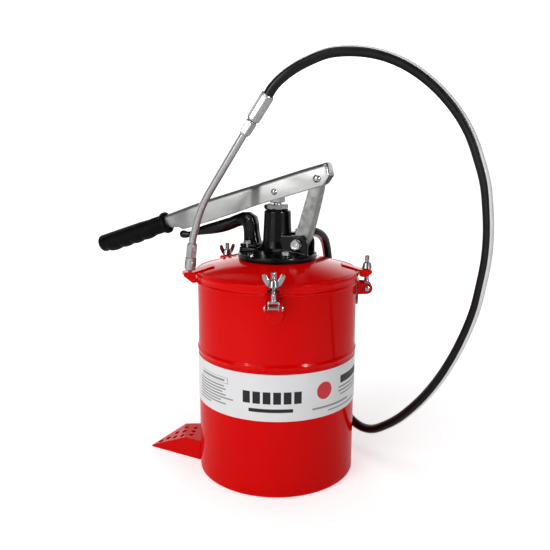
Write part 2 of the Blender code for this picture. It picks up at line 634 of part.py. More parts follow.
def make_lever(head):
    """The lever with its grip and rod pin, hung on the strut's top pin."""
    hinge = pivot("lever_hinge", head, (STRUT_HEAD[0], 0, STRUT_HEAD[1]))
    away = (-STRUT_HEAD[0], 0, -STRUT_HEAD[1])
    flat = (0, 0, 0)
    lever = plate("lever", shifted(lever_side(), STRUT_HEAD), 2 * LEVER_HALF, ZINC, hinge)
    plan = plate("lever_plan", lever_plan(LEVER_HALF, 10.4, 7.6), 300, None, hinge,
                 (away[0], 0, -40), flat)
    hollow = plate("lever_hollow", shifted(lever_hollow(), STRUT_HEAD), 2 * LEVER_HALF, None, hinge)
    inner = plate("lever_inner", lever_plan(LEVER_HALF - SHEET, 10.4 - SHEET, 4), 320, None, hinge,
                  (away[0], 0, -40), flat)
    combine(lever, "INTERSECT", plan)
    combine(hollow, "INTERSECT", inner)
    cut(lever, hollow)
    start, end = (-188.5, 0, 392.4), (-319, 0, 347.5)
    bar = lathe("lever_bar", rod_profile(7.6, (Vector(end) - Vector(start)).length, 0), None, hinge,
                Vector(start) + Vector(away), toward(start, end), steps=20)
    join(lever, bar)
    for x, z, radius in ((0, 0, PIVOT_R + 0.25),
                         (ROD_PIN[0] - STRUT_HEAD[0], ROD_PIN[1] - STRUT_HEAD[1], ROD_PIN_R + 0.2)):
        cut(lever, lathe(f"lever_hole_{x:.0f}", rod_profile(radius, 30, -30), None, hinge, (x, 0, z),
                         (pi / 2, 0, 0), steps=20))
    lathe("rod_pin", [(0, 17.2), (2.6, 17.0), (4.6, 15.8), (4.6, LEVER_HALF + GAP),
                      (ROD_PIN_R, LEVER_HALF + GAP), (ROD_PIN_R, -LEVER_HALF - GAP),
                      (5.4, -LEVER_HALF - GAP), (5.4, -16.6), (0, -16.6)], ZINC, hinge,
          (ROD_PIN[0] - STRUT_HEAD[0], 0, ROD_PIN[1] - STRUT_HEAD[1]), (pi / 2, 0, 0), steps=20)
    grip_from, grip_to = Vector((-197.0, 0, 389.5)), Vector((-329.3, 0, 343.9))
    length = (grip_to - grip_from).length
    lathe("lever_grip", [(0, length), (13.0, length), (15.2, length - 1.4), (16.0, length - 4),
                         (16.0, 60), (14.8, 18), (14.6, 11), (15.4, 8), (17.8, 6.6), (17.8, 1.2),
                         (16.9, 0), (15.2, 0), (15.2, 6), (7.9, 6), (7.9, length - 8),
                         (0, length - 8)], RUBBER, hinge,
          grip_from + Vector(away), toward(grip_from, grip_to), steps=24)


def make_strut(head):
    """The rocking strut between the head's cheeks and the lever, with its pins."""
    hinge = pivot("strut_hinge", head, (STRUT_FOOT[0], 0, STRUT_FOOT[1]))
    dx = STRUT_HEAD[0] - STRUT_FOOT[0]
    dz = STRUT_HEAD[1] - STRUT_FOOT[1]
    length = (dx * dx + dz * dz) ** 0.5
    lean = (0, atan2(dx, dz), 0)
    frame = place(bpy.data.objects.new("strut_frame", None), hinge, (0, 0, 0), lean)
    PARTS.objects.link(frame)
    side = arc((0, 0), 12, 225, 360, 7) + [(13.5, 10), (13.5, 34), (11.6, 70), (9, 98)]
    side += arc((0, length), 9, 0, 160, 8)
    strut = plate("strut", side, 2 * STRUT_HALF, ZINC, frame)
    hollow = [(-30, -30), (2, -30), (10, -4), (11.5, 10), (11.5, 34), (9.6, 70), (7, 98),
              (7, length + 2), (0, length + 30), (-30, length + 30)]
    inner = STRUT_HALF - SHEET
    cut(strut, plate("strut_hollow", hollow, 2 * inner, None, frame))
    for z, name in ((0, "foot"), (length, "head")):
        cut(strut, lathe("strut_hole_" + name, rod_profile(PIVOT_R + 0.25, 30, -30), None, frame,
                         (0, 0, z), (pi / 2, 0, 0), steps=20))
    lathe("strut_pin", [(0, 18.2), (3.4, 17.8), (6.2, 15.8), (6.2, LEVER_HALF + GAP),
                        (PIVOT_R, LEVER_HALF + GAP), (PIVOT_R, -LEVER_HALF - GAP),
                        (6.6, -LEVER_HALF - GAP), (6.6, -17.0), (0, -17.0)], ZINC, frame,
          (0, 0, length), (pi / 2, 0, 0), steps=20)
    foot = (STRUT_FOOT[0], 0, STRUT_FOOT[1])
    side_on = (pi / 2, 0, 0)
    bolt = lathe("strut_bolt", [(0, 26), (7.4, 26), (8.2, 25), (8.2, CHEEK_OUT + GAP), (0, CHEEK_OUT + GAP)],
                 ZINC, head, foot, side_on, steps=6)
    join(bolt, lathe("strut_bolt_shank", rod_profile(PIVOT_R, CHEEK_OUT + 2, -30), None, head, foot,
                     side_on, steps=20))
    hexagon("strut_nut", 9.0, -CHEEK_OUT - GAP, -27, PIVOT_R + 0.3, ZINC, head, foot, side_on)


def make_pump(head):
    """The pump tube, rod, piston and foot valve, and the follower plate."""
    lathe("pump_tube", tube_profile(TUBE_R, TUBE_BORE, TUBE_HIGH, TUBE_LOW), STEEL, head, steps=32,
          ring=True)
    lathe("pump_rod", rod_profile(ROD_R, 434.0, PISTON_Z + GAP), STEEL, head, steps=24)
    rod_eye = [(-9, 430.5), (9, 430.5), (9, 449)] + arc((0, 449), 9, 0, 90, 4)[1:]
    rod_eye += arc((-5, 449), 9, 90, 180, 4) + [(-14, 445), (-9, 438)]
    eye = plate("rod_head", rod_eye, 19.6, ZINC, head)
    cut(eye, lathe("rod_socket", rod_profile(ROD_R + 0.2, 434.3, 420), None, head, steps=24))
    half = ROD_PIN_R + 0.3
    slot = arc((0.5, ROD_PIN[1]), half, -90, 90, 6) + arc((-ROD_SLOT, ROD_PIN[1]), half, 90, 270, 6)
    cut(eye, plate("rod_slot", slot, 40, None, head))
    lathe("piston", [(0, PISTON_Z), (9.5, PISTON_Z), (11.5, PISTON_Z - 2), (11.5, PISTON_Z - 10),
                     (5, PISTON_Z - 10), (5, PISTON_Z - 20), (0, PISTON_Z - 20)], STEEL, head,
          steps=24)
    low = PISTON_Z - 10 - GAP
    lathe("piston_cup", tube_profile(11.6, 5.3, low, low - 6), RUBBER, head, steps=24, ring=True)
    lathe("foot_valve", [(16.5, 26.7), (17.0, 26), (17.0, 8), (15.5, 6), (4.5, 6), (4.5, 12),
                         (8.6, 14), (8.6, 26.7)], STEEL, head, steps=24, ring=True)
    ball = pivot("ball_seat", head, (0, 0, 16.4))
    sphere("foot_ball", 6.0, STEEL, ball)
    plate_at = pivot("follower", location=(0, 0, FOLLOWER_Z))
    lathe("follower_plate", [(19.0, 8), (19.0, 2.2), (60, 2.2), (112, 6.0), (119, 6.0), (119, 4.0),
                             (112, 4.0), (60, 0.2), (17.6, 0.2), (17.6, 8)], STEEL, plate_at,
          steps=32, ring=True)
    lathe("follower_seal", [(122.6, 9.6), (122.6, 0.6), (119.8, 0.6), (119.8, 9.6)], RUBBER,
          plate_at, steps=ROUND, ring=True)


def sphere(name, radius, material, parent, location=(0, 0, 0)):
    mesh = bpy.data.meshes.new(name)
    bm = bmesh.new()
    bmesh.ops.create_uvsphere(bm, u_segments=12, v_segments=8, radius=radius * MM)
    bm.to_mesh(mesh)
    bm.free()
    mesh.shade_smooth()
    return place(new_object(name, mesh, material), parent, location, (0, 0, 0))


def make_outlet(port):
    """The check valve in the outlet boss, and the nipple and ferrule that the hose leaves by."""
    outward = (0, pi / 2, 0)
    sphere("outlet_ball", 4.6, STEEL, port, (20.6 + GAP, 0, 0))
    turns, count, coil_r = 3.5, 28, 4.5
    coil = [(26.4 + 6.4 * i / count, coil_r * cos(2 * pi * turns * i / count),
             coil_r * sin(2 * pi * turns * i / count)) for i in range(count + 1)]
    pipe("outlet_spring", coil, 0.6, STEEL, 1, None, port)
    nipple = hexagon("outlet_nipple", 9.6, 40, 28.3, 4.0, ZINC, port, (0, 0, 0), outward)
    join(nipple, lathe("nipple_thread", rod_profile(6.7, 31, 26), None, port, rotation=outward,
                       steps=20))
    cut(nipple, lathe("nipple_pocket", [(0, 34), (5.5, 34), (5.5, 20), (0, 20)], None, port,
                      rotation=outward, steps=20),
        lathe("nipple_way", rod_profile(4.0, 60, 20), None, port, rotation=outward, steps=20))


def make_hose():
    """The delivery hose between its two ferrules."""
    line = smooth_line(HOSE_POINTS, HOSE_STEP)
    pipe("hose", line, HOSE_R, RUBBER, HOSE_SIDES)
    ends = (("ferrule_pump", line[0], line[1], 20.5), ("ferrule_wand", line[-1], line[-2], WAND_FERRULE_LENGTH))
    for name, end, inside, length in ends:
        away = (end - inside).normalized()
        lathe(name, [(0, length), (8.6, length), (10.2, length - 2), (10.2, 2), (9.4, GAP), (0, GAP)],
              ZINC, None, end, toward(end, end + away), steps=20)


def make_wand():
    """The rigid wand with its adapter and grease coupler."""
    last = Vector(HOSE_POINTS[-1])
    down = (last - Vector(HOSE_POINTS[-2])).normalized()
    start = last + down * (WAND_FERRULE_LENGTH + GAP)
    length = (WAND_PIPE_TOP - start).length
    lathe("wand_adapter", [(0, length), (7.2, length), (9.4, length - 3), (9.4, 3), (7.6, GAP),
                           (0, GAP)], ZINC, None, start, toward(start, WAND_PIPE_TOP), steps=6)
    straight = (COUPLER_TOP - COUPLER_FOOT).normalized()
    lower = (WAND_BEND - COUPLER_TOP - straight * 6).normalized()
    upper = (WAND_PIPE_TOP - WAND_BEND).normalized()
    reach = 26.0
    a, b = WAND_BEND - lower * reach, WAND_BEND + upper * reach
    bend = [(1 - t) ** 2 * a + 2 * t * (1 - t) * WAND_BEND + t * t * b for t in
            (0, 0.17, 0.33, 0.5, 0.67, 0.83, 1)]
    pipe("wand_pipe", [COUPLER_TOP + straight * GAP, COUPLER_TOP + straight * 6, *bend,
                       WAND_PIPE_TOP - upper], PIPE_R, ZINC, 3)
    axis = toward(COUPLER_FOOT, COUPLER_TOP)
    top = (COUPLER_TOP - COUPLER_FOOT).length - GAP
    body = lathe("coupler_body", [(0, top), (7.2, top), (8.8, top - 2.5), (8.8, 22), (0, 22)], ZINC,
                 None, COUPLER_FOOT, axis, steps=6)
    join(body, lathe("coupler_nose", rod_profile(4.8, 24, 8.2), None, None, COUPLER_FOOT, axis,
                     steps=20))
    lathe("coupler_sleeve", [(7.8, 21.6), (8.8, 20.6), (8.8, 4.2), (7.6, 2.6), (3.6, 2.6),
                             (3.6, 7.9), (5.1, 7.9), (5.1, 21.6)], ZINC, None, COUPLER_FOOT, axis,
          steps=24, ring=True)


make_drum()
make_lid()
for clamp_side, clamp_bearing in CLAMP_BEARINGS.items():
    make_clamp(clamp_side, clamp_bearing)
make_rest(REST_BEARING)
HEAD = pivot("pump_axis", turn=HEAD_TURN)
PORT = make_head(HEAD)
make_handle(HEAD)
make_gland(HEAD)
make_strut(HEAD)
make_lever(HEAD)
make_pump(HEAD)
make_outlet(PORT)
make_hose()
make_wand()
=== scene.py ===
from math import atan2, cos, pi, radians, sin, tan

import bmesh
import bpy
from mathutils import Matrix, Vector


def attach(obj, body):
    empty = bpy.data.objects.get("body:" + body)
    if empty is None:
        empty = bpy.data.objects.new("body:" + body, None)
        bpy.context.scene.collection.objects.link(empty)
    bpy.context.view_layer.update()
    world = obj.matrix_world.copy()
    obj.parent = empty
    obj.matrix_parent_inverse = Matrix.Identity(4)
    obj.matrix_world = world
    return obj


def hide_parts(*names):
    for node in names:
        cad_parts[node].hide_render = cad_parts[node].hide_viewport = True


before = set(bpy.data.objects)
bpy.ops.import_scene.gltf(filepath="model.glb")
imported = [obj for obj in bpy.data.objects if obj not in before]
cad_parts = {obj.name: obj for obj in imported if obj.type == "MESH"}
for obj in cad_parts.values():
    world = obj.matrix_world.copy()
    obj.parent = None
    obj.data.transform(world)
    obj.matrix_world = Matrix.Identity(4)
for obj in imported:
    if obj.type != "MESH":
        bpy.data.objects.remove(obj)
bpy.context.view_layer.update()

MM = 0.001

# Places that the frame's own parts have, in millimetres
GAP = 0.3
DRUM_R = 125.0
BEAD_Z = 205.0
BAND_LOW = 123.0
BAND_HIGH = 195.0
PRINT_R = DRUM_R + 0.68
LID_RIM_R = 128.6
LID_RIM_Z = 325.0
LID_TOP_Z = 344.0
LID_TOP_R = 60.0
PIN_X = 141.0
PIN_Z = 298.5
LUG_TOP = 328.0
LUG_TIP = 148.5
CLAMP_TOP = 349.5
CLAMPS = {"front": -2.0, "right": 88.0, "back": -142.0}
REST_BEARING = -77.0
EAR_AT = 10.4
RIVET_SEAT = 14.7
STRUT_FOOT = Vector((39.0, 0.0, 369.8))
STRUT_HEAD = Vector((68.0, 0.0, 470.3))
ROD_PIN = Vector((0.0, 0.0, 448.4))
ROUND_STEPS = 192
HOSE_R = 7.5
HOSE_POINTS = [
    (46.5, 42, 377.5), (56.5, 50.9, 378), (65.7, 61.3, 375.4), (73.6, 73.3, 369.3),
    (79.8, 84.7, 359.4), (83.7, 95.4, 346.1), (86, 102.1, 333.5), (87.5, 106.5, 322.5),
    (88, 111, 307), (90.5, 117, 277.5), (92.5, 122, 248.5), (94.5, 127, 214), (99, 129.5, 172.5),
    (102, 123.5, 124), (108.5, 101.5, 81.5), (122, 72.5, 55), (140, 40, 45.5), (160, 10, 51),
    (181, -16, 71), (201, -40, 97), (224, -70, 138), (242, -94, 179), (256, -112, 219),
    (267, -126, 258), (275, -137, 296), (279, -145, 333), (282, -150, 369), (282, -152, 404),
    (279, -152, 438), (274, -150, 472), (265, -146, 503), (254, -141, 533), (238, -136, 561),
    (217, -130, 587), (193, -124, 609), (165, -118, 627), (134, -111, 639), (101, -104, 644),
    (67, -97, 642), (36.5, -91.5, 630.5), (17, -90, 619.5), (2, -87, 608), (-7.6, -84.3, 597.8),
    (-13.5, -82, 588.5),
]
WAND_FERRULE_LENGTH = 42.5
WAND_PIPE_TOP = Vector((-48.6, -68.0, 534.3))
WAND_BEND = Vector((-114.1, -42.0, 428.5))
COUPLER_TOP = Vector((-129.0, -34.0, 371.8))
COUPLER_FOOT = Vector((-134.2, -31.0, 328.2))
PIPE_R = 5.6

WORLD = Matrix.Identity(4)
HEAD = Matrix.Rotation(radians(-22.0), 4, "Z")
SIDE_ON = Matrix.Rotation(pi / 2, 4, "X")
HEAD_SIDE = HEAD @ SIDE_ON
LEAN = atan2(STRUT_HEAD.x - STRUT_FOOT.x, STRUT_HEAD.z - STRUT_FOOT.z)
STRUT = HEAD @ Matrix.Translation(STRUT_FOOT) @ Matrix.Rotation(LEAN, 4, "Y")
STRUT_LENGTH = (STRUT_HEAD - STRUT_FOOT).length
PORT = (HEAD @ Matrix.Translation((0, 0, 372)) @ Matrix.Rotation(radians(64), 4, "Z")
        @ Matrix.Rotation(radians(-5), 4, "Y"))
OUTWARD = Matrix.Rotation(pi / 2, 4, "Y")


def make_camera():
    camera = bpy.data.objects.new("camera", bpy.data.cameras.new("camera"))
    camera.data.lens = 44.457
    camera.data.sensor_width = 36.0
    camera.data.shift_x = -0.004
    camera.location = (0, -1.052, 0.537)
    tilt = Matrix.Rotation(radians(78.14), 4, "X") @ Matrix.Rotation(radians(0.33), 4, "Z")
    camera.rotation_euler = tilt.to_euler()
    bpy.context.scene.collection.objects.link(camera)
    bpy.context.scene.camera = camera


# ---- materials

def add_node(tree, kind, **values):
    """A new shader node; each value names its input, with underscores for spaces."""
    node = tree.nodes.new("ShaderNode" + kind)
    for name, value in values.items():
        node.inputs[name.replace("_", " ")].default_value = value
    return node


def ramp(tree, value, start, end, low, high):
    """A smooth step from low to high while the value goes from start to end."""
    node = add_node(tree, "MapRange", From_Min=start, From_Max=end, To_Min=low, To_Max=high)
    node.interpolation_type = "SMOOTHSTEP"
    tree.links.new(value, node.inputs["Value"])
    return node.outputs["Result"]


def combine(tree, operation, a, b):
    """A maths node on two numbers or outputs."""
    node = add_node(tree, "Math")
    node.operation = operation
    for socket, value in zip(node.inputs, (a, b)):
        if isinstance(value, float):
            socket.default_value = value
        else:
            tree.links.new(value, socket)
    return node.outputs["Value"]


def surface(name, colour, rough, metallic=0.0, specular=0.5, tint=None, patches=18.0,
            rough_change=0.06, bump=0.0, grain=700.0, depth=0.0002, stretch=(1, 1, 1), turn=(0, 0, 0)):
    """A material whose colour and roughness drift in soft patches, with a fine bump."""
    material = bpy.data.materials.new(name)
    material.use_nodes = True
    tree = material.node_tree
    link = tree.links.new
    shader = tree.nodes["Principled BSDF"]
    shader.inputs["Metallic"].default_value = metallic
    shader.inputs["Specular IOR Level"].default_value = specular

    where = add_node(tree, "TexCoord")
    mapping = add_node(tree, "Mapping", Scale=stretch, Rotation=turn)
    link(where.outputs["Object"], mapping.inputs["Vector"])
    drift = add_node(tree, "TexNoise", Scale=patches, Detail=4.0)
    link(mapping.outputs["Vector"], drift.inputs["Vector"])
    mix = add_node(tree, "Mix")
    mix.data_type = "RGBA"
    mix.inputs["A"].default_value = (*colour, 1)
    mix.inputs["B"].default_value = (*(tint or [c * 0.86 for c in colour]), 1)
    link(drift.outputs["Fac"], mix.inputs["Factor"])
    link(mix.outputs["Result"], shader.inputs["Base Color"])
    spread = add_node(tree, "MapRange", From_Min=0.3, From_Max=0.7, To_Min=rough - rough_change,
                      To_Max=rough + rough_change)
    link(drift.outputs["Fac"], spread.inputs["Value"])
    link(spread.outputs["Result"], shader.inputs["Roughness"])

    if bump:
        fine = add_node(tree, "TexNoise", Scale=grain, Detail=3.0)
        link(mapping.outputs["Vector"], fine.inputs["Vector"])
        raised = add_node(tree, "Bump", Strength=bump, Distance=depth)
        link(fine.outputs["Fac"], raised.inputs["Height"])
        link(raised.outputs["Normal"], shader.inputs["Normal"])
    return material


RED = surface("red_gloss_paint", (0.74, 0.0006, 0.0007), 0.12, specular=0.07,
              tint=(0.68, 0.0004, 0.0005), patches=6, rough_change=0.03, bump=0.04, grain=160,
              depth=0.0001)
WHITE = surface("white_printed_band", (0.86, 0.86, 0.87), 0.42, tint=(0.8, 0.8, 0.82), specular=0.3,
                patches=9, bump=0.03, grain=400, depth=0.0001)
INK = surface("black_ink", (0.012, 0.011, 0.012), 0.45, patches=30, specular=0.3)
GREY_INK = surface("grey_ink", (0.3, 0.3, 0.31), 0.45, tint=(0.24, 0.24, 0.25), patches=30)
RED_INK = surface("red_ink", (0.68, 0.006, 0.01), 0.4, tint=(0.6, 0.004, 0.008), patches=20)
CAST = surface("black_cast_enamel", (0.0015, 0.0015, 0.0016), 0.2, specular=0.16,
               tint=(0.003, 0.003, 0.0032), patches=22, rough_change=0.05, bump=0.12, grain=300,
               depth=0.0003)
ZINC = surface("zinc_plate", (0.4, 0.4, 0.395), 0.22, metallic=0.95, tint=(0.2, 0.2, 0.2),
               patches=70, rough_change=0.08, bump=0.05, grain=350, depth=0.0001)
GALVANISED = surface("galvanised_fitting", (0.42, 0.42, 0.42), 0.28, metallic=0.6,
                     tint=(0.28, 0.28, 0.28), patches=60, rough_change=0.06, bump=0.05, grain=300,
                     depth=0.0001)
PRESSED = surface("pressed_zinc_sheet", (0.31, 0.31, 0.305), 0.37, metallic=1.0,
                  tint=(0.2, 0.2, 0.2), patches=34, rough_change=0.07, bump=0.1, grain=260,
                  depth=0.00012, stretch=(0.25, 1.6, 1.6), turn=(0, radians(-17), radians(22)))
DULL = surface("dull_zinc_sheet", (0.32, 0.32, 0.315), 0.4, metallic=0.9, tint=(0.05, 0.05, 0.05),
               patches=110, rough_change=0.1, bump=0.2, grain=260, depth=0.0002)
STEEL = surface("turned_steel", (0.5, 0.5, 0.51), 0.26, metallic=1.0, tint=(0.38, 0.38, 0.39),
                patches=60, bump=0.06, grain=500, depth=0.0001, stretch=(1, 1, 5))
RUBBER = surface("black_rubber", (0.002, 0.002, 0.0022), 0.42, tint=(0.004, 0.004, 0.0042),
                 specular=0.06, patches=26, rough_change=0.07, bump=0.2, grain=500, depth=0.0002)
HOSE_BLACK = surface("hose_cover", (0.002, 0.002, 0.0022), 0.34, tint=(0.004, 0.004, 0.0042),
                     specular=0.2, patches=60, bump=0.15, grain=600, depth=0.00015)
STRIPE = surface("hose_stripe", (0.8, 0.8, 0.79), 0.5, tint=(0.66, 0.66, 0.66), patches=120,
                 specular=0.3)

# ---- shapes: (points, faces) in mm

def loft(rings, closed=True, strip=False):
    """Faces between rings of points; a ring of one point is a pole."""
    points, faces, starts = [], [], []
    for ring in rings:
        starts.append(len(points))
        points += [Vector(p) for p in ring]
    pairs = list(zip(range(len(rings)), range(1, len(rings))))
    if not closed:
        pairs.append((len(rings) - 1, 0))
    for a, b in pairs:
        na, nb = len(rings[a]), len(rings[b])
        n = max(na, nb)
        for i in range(n):
            j = (i + 1) % n
            quad = [starts[a] + (i if na > 1 else 0), starts[a] + (j if na > 1 else 0),
                    starts[b] + (j if nb > 1 else 0), starts[b] + (i if nb > 1 else 0)]
            face = list(dict.fromkeys(quad))
            if len(face) > 2:
                faces.append(face)
    if closed:
        for start, ring in ((starts[0], rings[0]), (starts[-1], rings[-1])):
            n = len(ring)
            if n < 3:
                continue
            if strip:
                half = n // 2
                faces += [[start + i, start + i + 1, start + n - 2 - i, start + n - 1 - i]
                          for i in range(half - 1)]
            else:
                faces.append([start + i for i in range(n)])
    return points, faces


def around(radii, z):
    """A ring of points about the z axis with a radius for each."""
    steps = len(radii)
    return [(r * cos(2 * pi * i / steps), r * sin(2 * pi * i / steps), z)
            for i, r in enumerate(radii)]


def circle(radius, z, steps):
    return around([radius] * steps, z)


def arc(x, y, radius, angles):
    return [(x + radius * cos(radians(a)), y + radius * sin(radians(a))) for a in angles]


def lathe(profile, steps=64, ring=False):
    """A turned shape from (radius, z) points."""
    rings = [[(0, 0, z)] if r < 1e-6 else circle(r, z, steps) for r, z in profile]
    return loft(rings, closed=not ring)


def arch(a, middle, b, shares):
    """Points on the curve from a to b that leans towards middle."""
    return [(1 - t) ** 2 * a + 2 * t * (1 - t) * middle + t * t * b for t in shares]


def rounded(points, radius=0.0, closed=False, count=4):
    """A polyline with its corners rounded; a third number in a point is its own radius."""
    result = []
    last = len(points) - 1
    for i, point in enumerate(points):
        here = Vector(point[:2])
        r = point[2] if len(point) > 2 else radius
        before = Vector(points[i - 1][:2]) - here
        after = Vector(points[(i + 1) % (last + 1)][:2]) - here
        ends = not closed and i in (0, last)
        if ends or r <= 0 or before.angle(after) > radians(176):
            result.append(here)
            continue
        reach = min(r / tan(before.angle(after) / 2), 0.48 * before.length, 0.48 * after.length)
        a = here + before.normalized() * reach
        b = here + after.normalized() * reach
        result += arch(a, here, b, [k / count for k in range(count + 1)])
    return result


def loop(points, radius=0.0, count=4):
    """A closed outline with its corners rounded."""
    return rounded(points, radius, True, count)


def turned(points, radius=0.0, steps=48, ring=False):
    """A turned shape whose profile has rounded corners."""
    return lathe(rounded(points, radius, ring), steps, ring)


def inset(outline, amount):
    """An outline moved inwards; it runs anticlockwise."""
    moved = []
    n = len(outline)
    for i in range(n):
        a = (outline[i] - outline[i - 1]).normalized()
        b = (outline[(i + 1) % n] - outline[i]).normalized()
        normal = Vector((-a.y - b.y, a.x + b.x))
        length = normal.length
        if length < 1e-6:
            moved.append(outline[i])
            continue
        normal /= length
        share = max(normal.dot(Vector((-a.y, a.x))), 0.5)
        moved.append(outline[i] + normal * amount / share)
    return moved


def prism(outline, low, high, edge=0.6):
    """A plate over an outline from low to high along z, with rounded edges."""
    outline = [Vector(p[:2]) for p in outline]
    area = sum(p.cross(q) for p, q in zip(outline, outline[1:] + outline[:1]))
    if area < 0:
        outline.reverse()
    steps = [(edge * (1 - sin(pi / 6 * k)), edge * (1 - cos(pi / 6 * k))) for k in range(4)]
    levels = [(inward, low + lift) for inward, lift in steps]
    levels += [(inward, high - lift) for inward, lift in reversed(steps)]
    if not edge:
        levels = [(0, low), (0, high)]
    rings = [[(p.x, p.y, z) for p in inset(outline, inward)] for inward, z in levels]
    return loft(rings)


def along(line, x):
    """Height of a polyline at x; its points run either way."""
    for p, q in zip(line, line[1:]):
        if min(p[0], q[0]) <= x <= max(p[0], q[0]) and p[0] != q[0]:
            return p[1] + (q[1] - p[1]) * (x - p[0]) / (q[0] - p[0])
    return min(line, key=lambda p: abs(p[0] - x))[1]


def smoothstep(x, low, high):
    t = min(max((x - low) / (high - low), 0.0), 1.0)
    return t * t * (3 - 2 * t)


def carried(line, start_up):
    """The frames of a line: its points with two cross directions that don't twist."""
    frames = []
    normal = Vector(start_up)
    for i, point in enumerate(line):
        ahead = line[min(i + 1, len(line) - 1)] - line[max(i - 1, 0)]
        tangent = ahead.normalized()
        normal = (normal - tangent * normal.dot(tangent)).normalized()
        frames.append((point, tangent, normal, tangent.cross(normal)))
    return frames


def sweep(line, section, up=(0, 0, 1)):
    """A section of (x, y) points carried along a line; section may be a function of the index."""
    rings = []
    for i, (point, _, normal, side) in enumerate(carried([Vector(p) for p in line], up)):
        shape = section(i) if callable(section) else section
        rings.append([point + (normal * x + side * y) for x, y in shape])
    return loft(rings)


def round_section(radius, steps):
    return [point[:2] for point in circle(radius, 0, steps)]


def hexagon(apothem, low, high, bore=0.0, blunt=0.985, bottom=True, sides=6):
    """A hexagonal body whose corners are cut by a cone, as on a real nut."""
    per = 12
    steps = sides * per
    corner = apothem / cos(pi / sides) * blunt
    turns = [((i + 0.5 * per) % per - 0.5 * per) * 2 * pi / steps for i in range(steps)]
    radii = [min(apothem / cos(angle), corner) for angle in turns]
    face = apothem * 0.985

    def shaped(z, sign):
        return [(x, y, z - sign * (r - face) * tan(radians(30)))
                for r, (x, y, _) in zip(radii, around(radii, z))]

    ends = [circle(bore, z, steps) if bore else [(0, 0, z)] for z in (high, low)]
    rings = [ends[0], circle(face, high, steps), shaped(high, 1), shaped(low, -1 if bottom else 0),
             circle(face, low, steps), ends[1]]
    return loft(rings, closed=not bore)


def thread(radius, low, high, pitch=1.25, deep=0.55, steps=28):
    """A threaded rod: its radius follows a helix."""
    count = int((high - low) / pitch * 5)
    rings = [[(0, 0, low)], circle(radius - deep - 0.3, low, steps)]
    for k in range(count + 1):
        z = low + 0.5 + (high - low - 1.3) * k / count
        phases = [(z / pitch - i / steps) % 1.0 for i in range(steps)]
        rings.append(around([radius - deep * abs(2 * phase - 1) for phase in phases], z))
    rings += [circle(radius - deep - 0.5, high, steps), [(0, 0, high)]]
    return loft(rings)


def channel(pairs, thick, deep_foot=7.0):
    """A pressed channel through (top, bottom, half width, corner, curl) stations."""
    def half_ring(height, half, corner, curl, inward):
        w = half - inward
        h = max(height - inward, 0.25 * height)
        r = min(max(min(corner, half - 0.2) - inward, 0.4), 0.6 * h)
        foot = min(deep_foot, half - 0.3, 0.4 * height)
        points = [(0, h), (0.5 * (w - r), h)]
        points += [(w - r + r * sin(pi / 2 * k / 6), h - r + r * cos(pi / 2 * k / 6))
                   for k in range(7)]
        for k in range(5):
            turn = pi / 2 * k / 4
            straight = Vector((w, foot * (1 - k / 4)))
            bent = Vector((half - foot + (foot - inward) * cos(turn),
                           foot - (foot - inward) * sin(turn)))
            points.append(straight.lerp(bent, curl))
        return points

    rings = []
    for top, bottom, half, corner, curl in pairs:
        top, bottom = Vector((top[0], 0, top[1])), Vector((bottom[0], 0, bottom[1]))
        up = (top - bottom).normalized()
        ring = []
        for inward in (0, thick):
            right = half_ring((top - bottom).length, half, corner, curl, inward)
            left = [(-y, z) for y, z in reversed(right[1:])]
            run = left + [tuple(p) for p in right]
            if inward:
                run.reverse()
            ring += [bottom + up * z + Vector((0, y, 0)) for y, z in run]
        rings.append(ring)
    return loft(rings, strip=True)


def moved(shape, matrix):
    points, faces = shape
    return [matrix @ Vector(p) for p in points], faces


def on_side(shape):
    """A shape drawn in x and y, stood up so that y is the height."""
    return moved(shape, SIDE_ON)


def together(*shapes):
    points, faces = [], []
    for more_points, more_faces in shapes:
        start = len(points)
        points += more_points
        faces += [[start + i for i in face] for face in more_faces]
    return points, faces


# ---- pieces

def mesh_object(name, shape, place=WORLD):
    points, faces = moved(shape, place)
    mesh = bpy.data.meshes.new(name)
    mesh.from_pydata([p * MM for p in points], [], faces)
    bm = bmesh.new()
    bm.from_mesh(mesh)
    bmesh.ops.recalc_face_normals(bm, faces=bm.faces)
    bm.to_mesh(mesh)
    bm.free()
    obj = bpy.data.objects.new(name, mesh)
    bpy.context.scene.collection.objects.link(obj)
    return obj


def applied(obj):
    """The object with its modifiers turned into its own mesh."""
    bpy.context.view_layer.update()
    result = bpy.data.meshes.new_from_object(obj.evaluated_get(bpy.context.evaluated_depsgraph_get()))
    obj.modifiers.clear()
    old = obj.data
    obj.data = result
    bpy.data.meshes.remove(old)
    return obj


def cut_out(obj, *cutters):
    for cutter in cutters:
        boolean = obj.modifiers.new("cut", "BOOLEAN")
        boolean.operation = "DIFFERENCE"
        boolean.object = cutter
    applied(obj)
    for cutter in cutters:
        bpy.data.objects.remove(cutter, do_unlink=True)
    return obj


def bevelled(obj):
    """The object with the sharp edges of its sheet taken off."""
    bevel = obj.modifiers.new("bevel", "BEVEL")
    bevel.width = 0.45 * MM
    bevel.segments = 2
    bevel.limit_method = "ANGLE"
    bevel.angle_limit = radians(50)
    return applied(obj)


def melted(obj, voxel, rounds):
    """Overlapping shapes as one body with soft corners."""
    remesh = obj.modifiers.new("remesh", "REMESH")
    remesh.mode = "VOXEL"
    remesh.voxel_size = voxel * MM
    smooth = obj.modifiers.new("smooth", "SMOOTH")
    smooth.factor = 0.5
    smooth.iterations = rounds
    return applied(obj)


def piece(obj, material, replaces=(), sharp=32.0, body="drum_unit"):
    """Finishes an object as a piece: its shading, finish and body."""
    mesh = obj.data
    mesh.materials.clear()
    mesh.materials.append(material)
    mesh.polygons.foreach_set("use_smooth", [True] * len(mesh.polygons))
    if sharp:
        mesh.set_sharp_from_angle(angle=radians(sharp))
    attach(obj, body)
    if replaces:
        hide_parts(*replaces)
    return obj


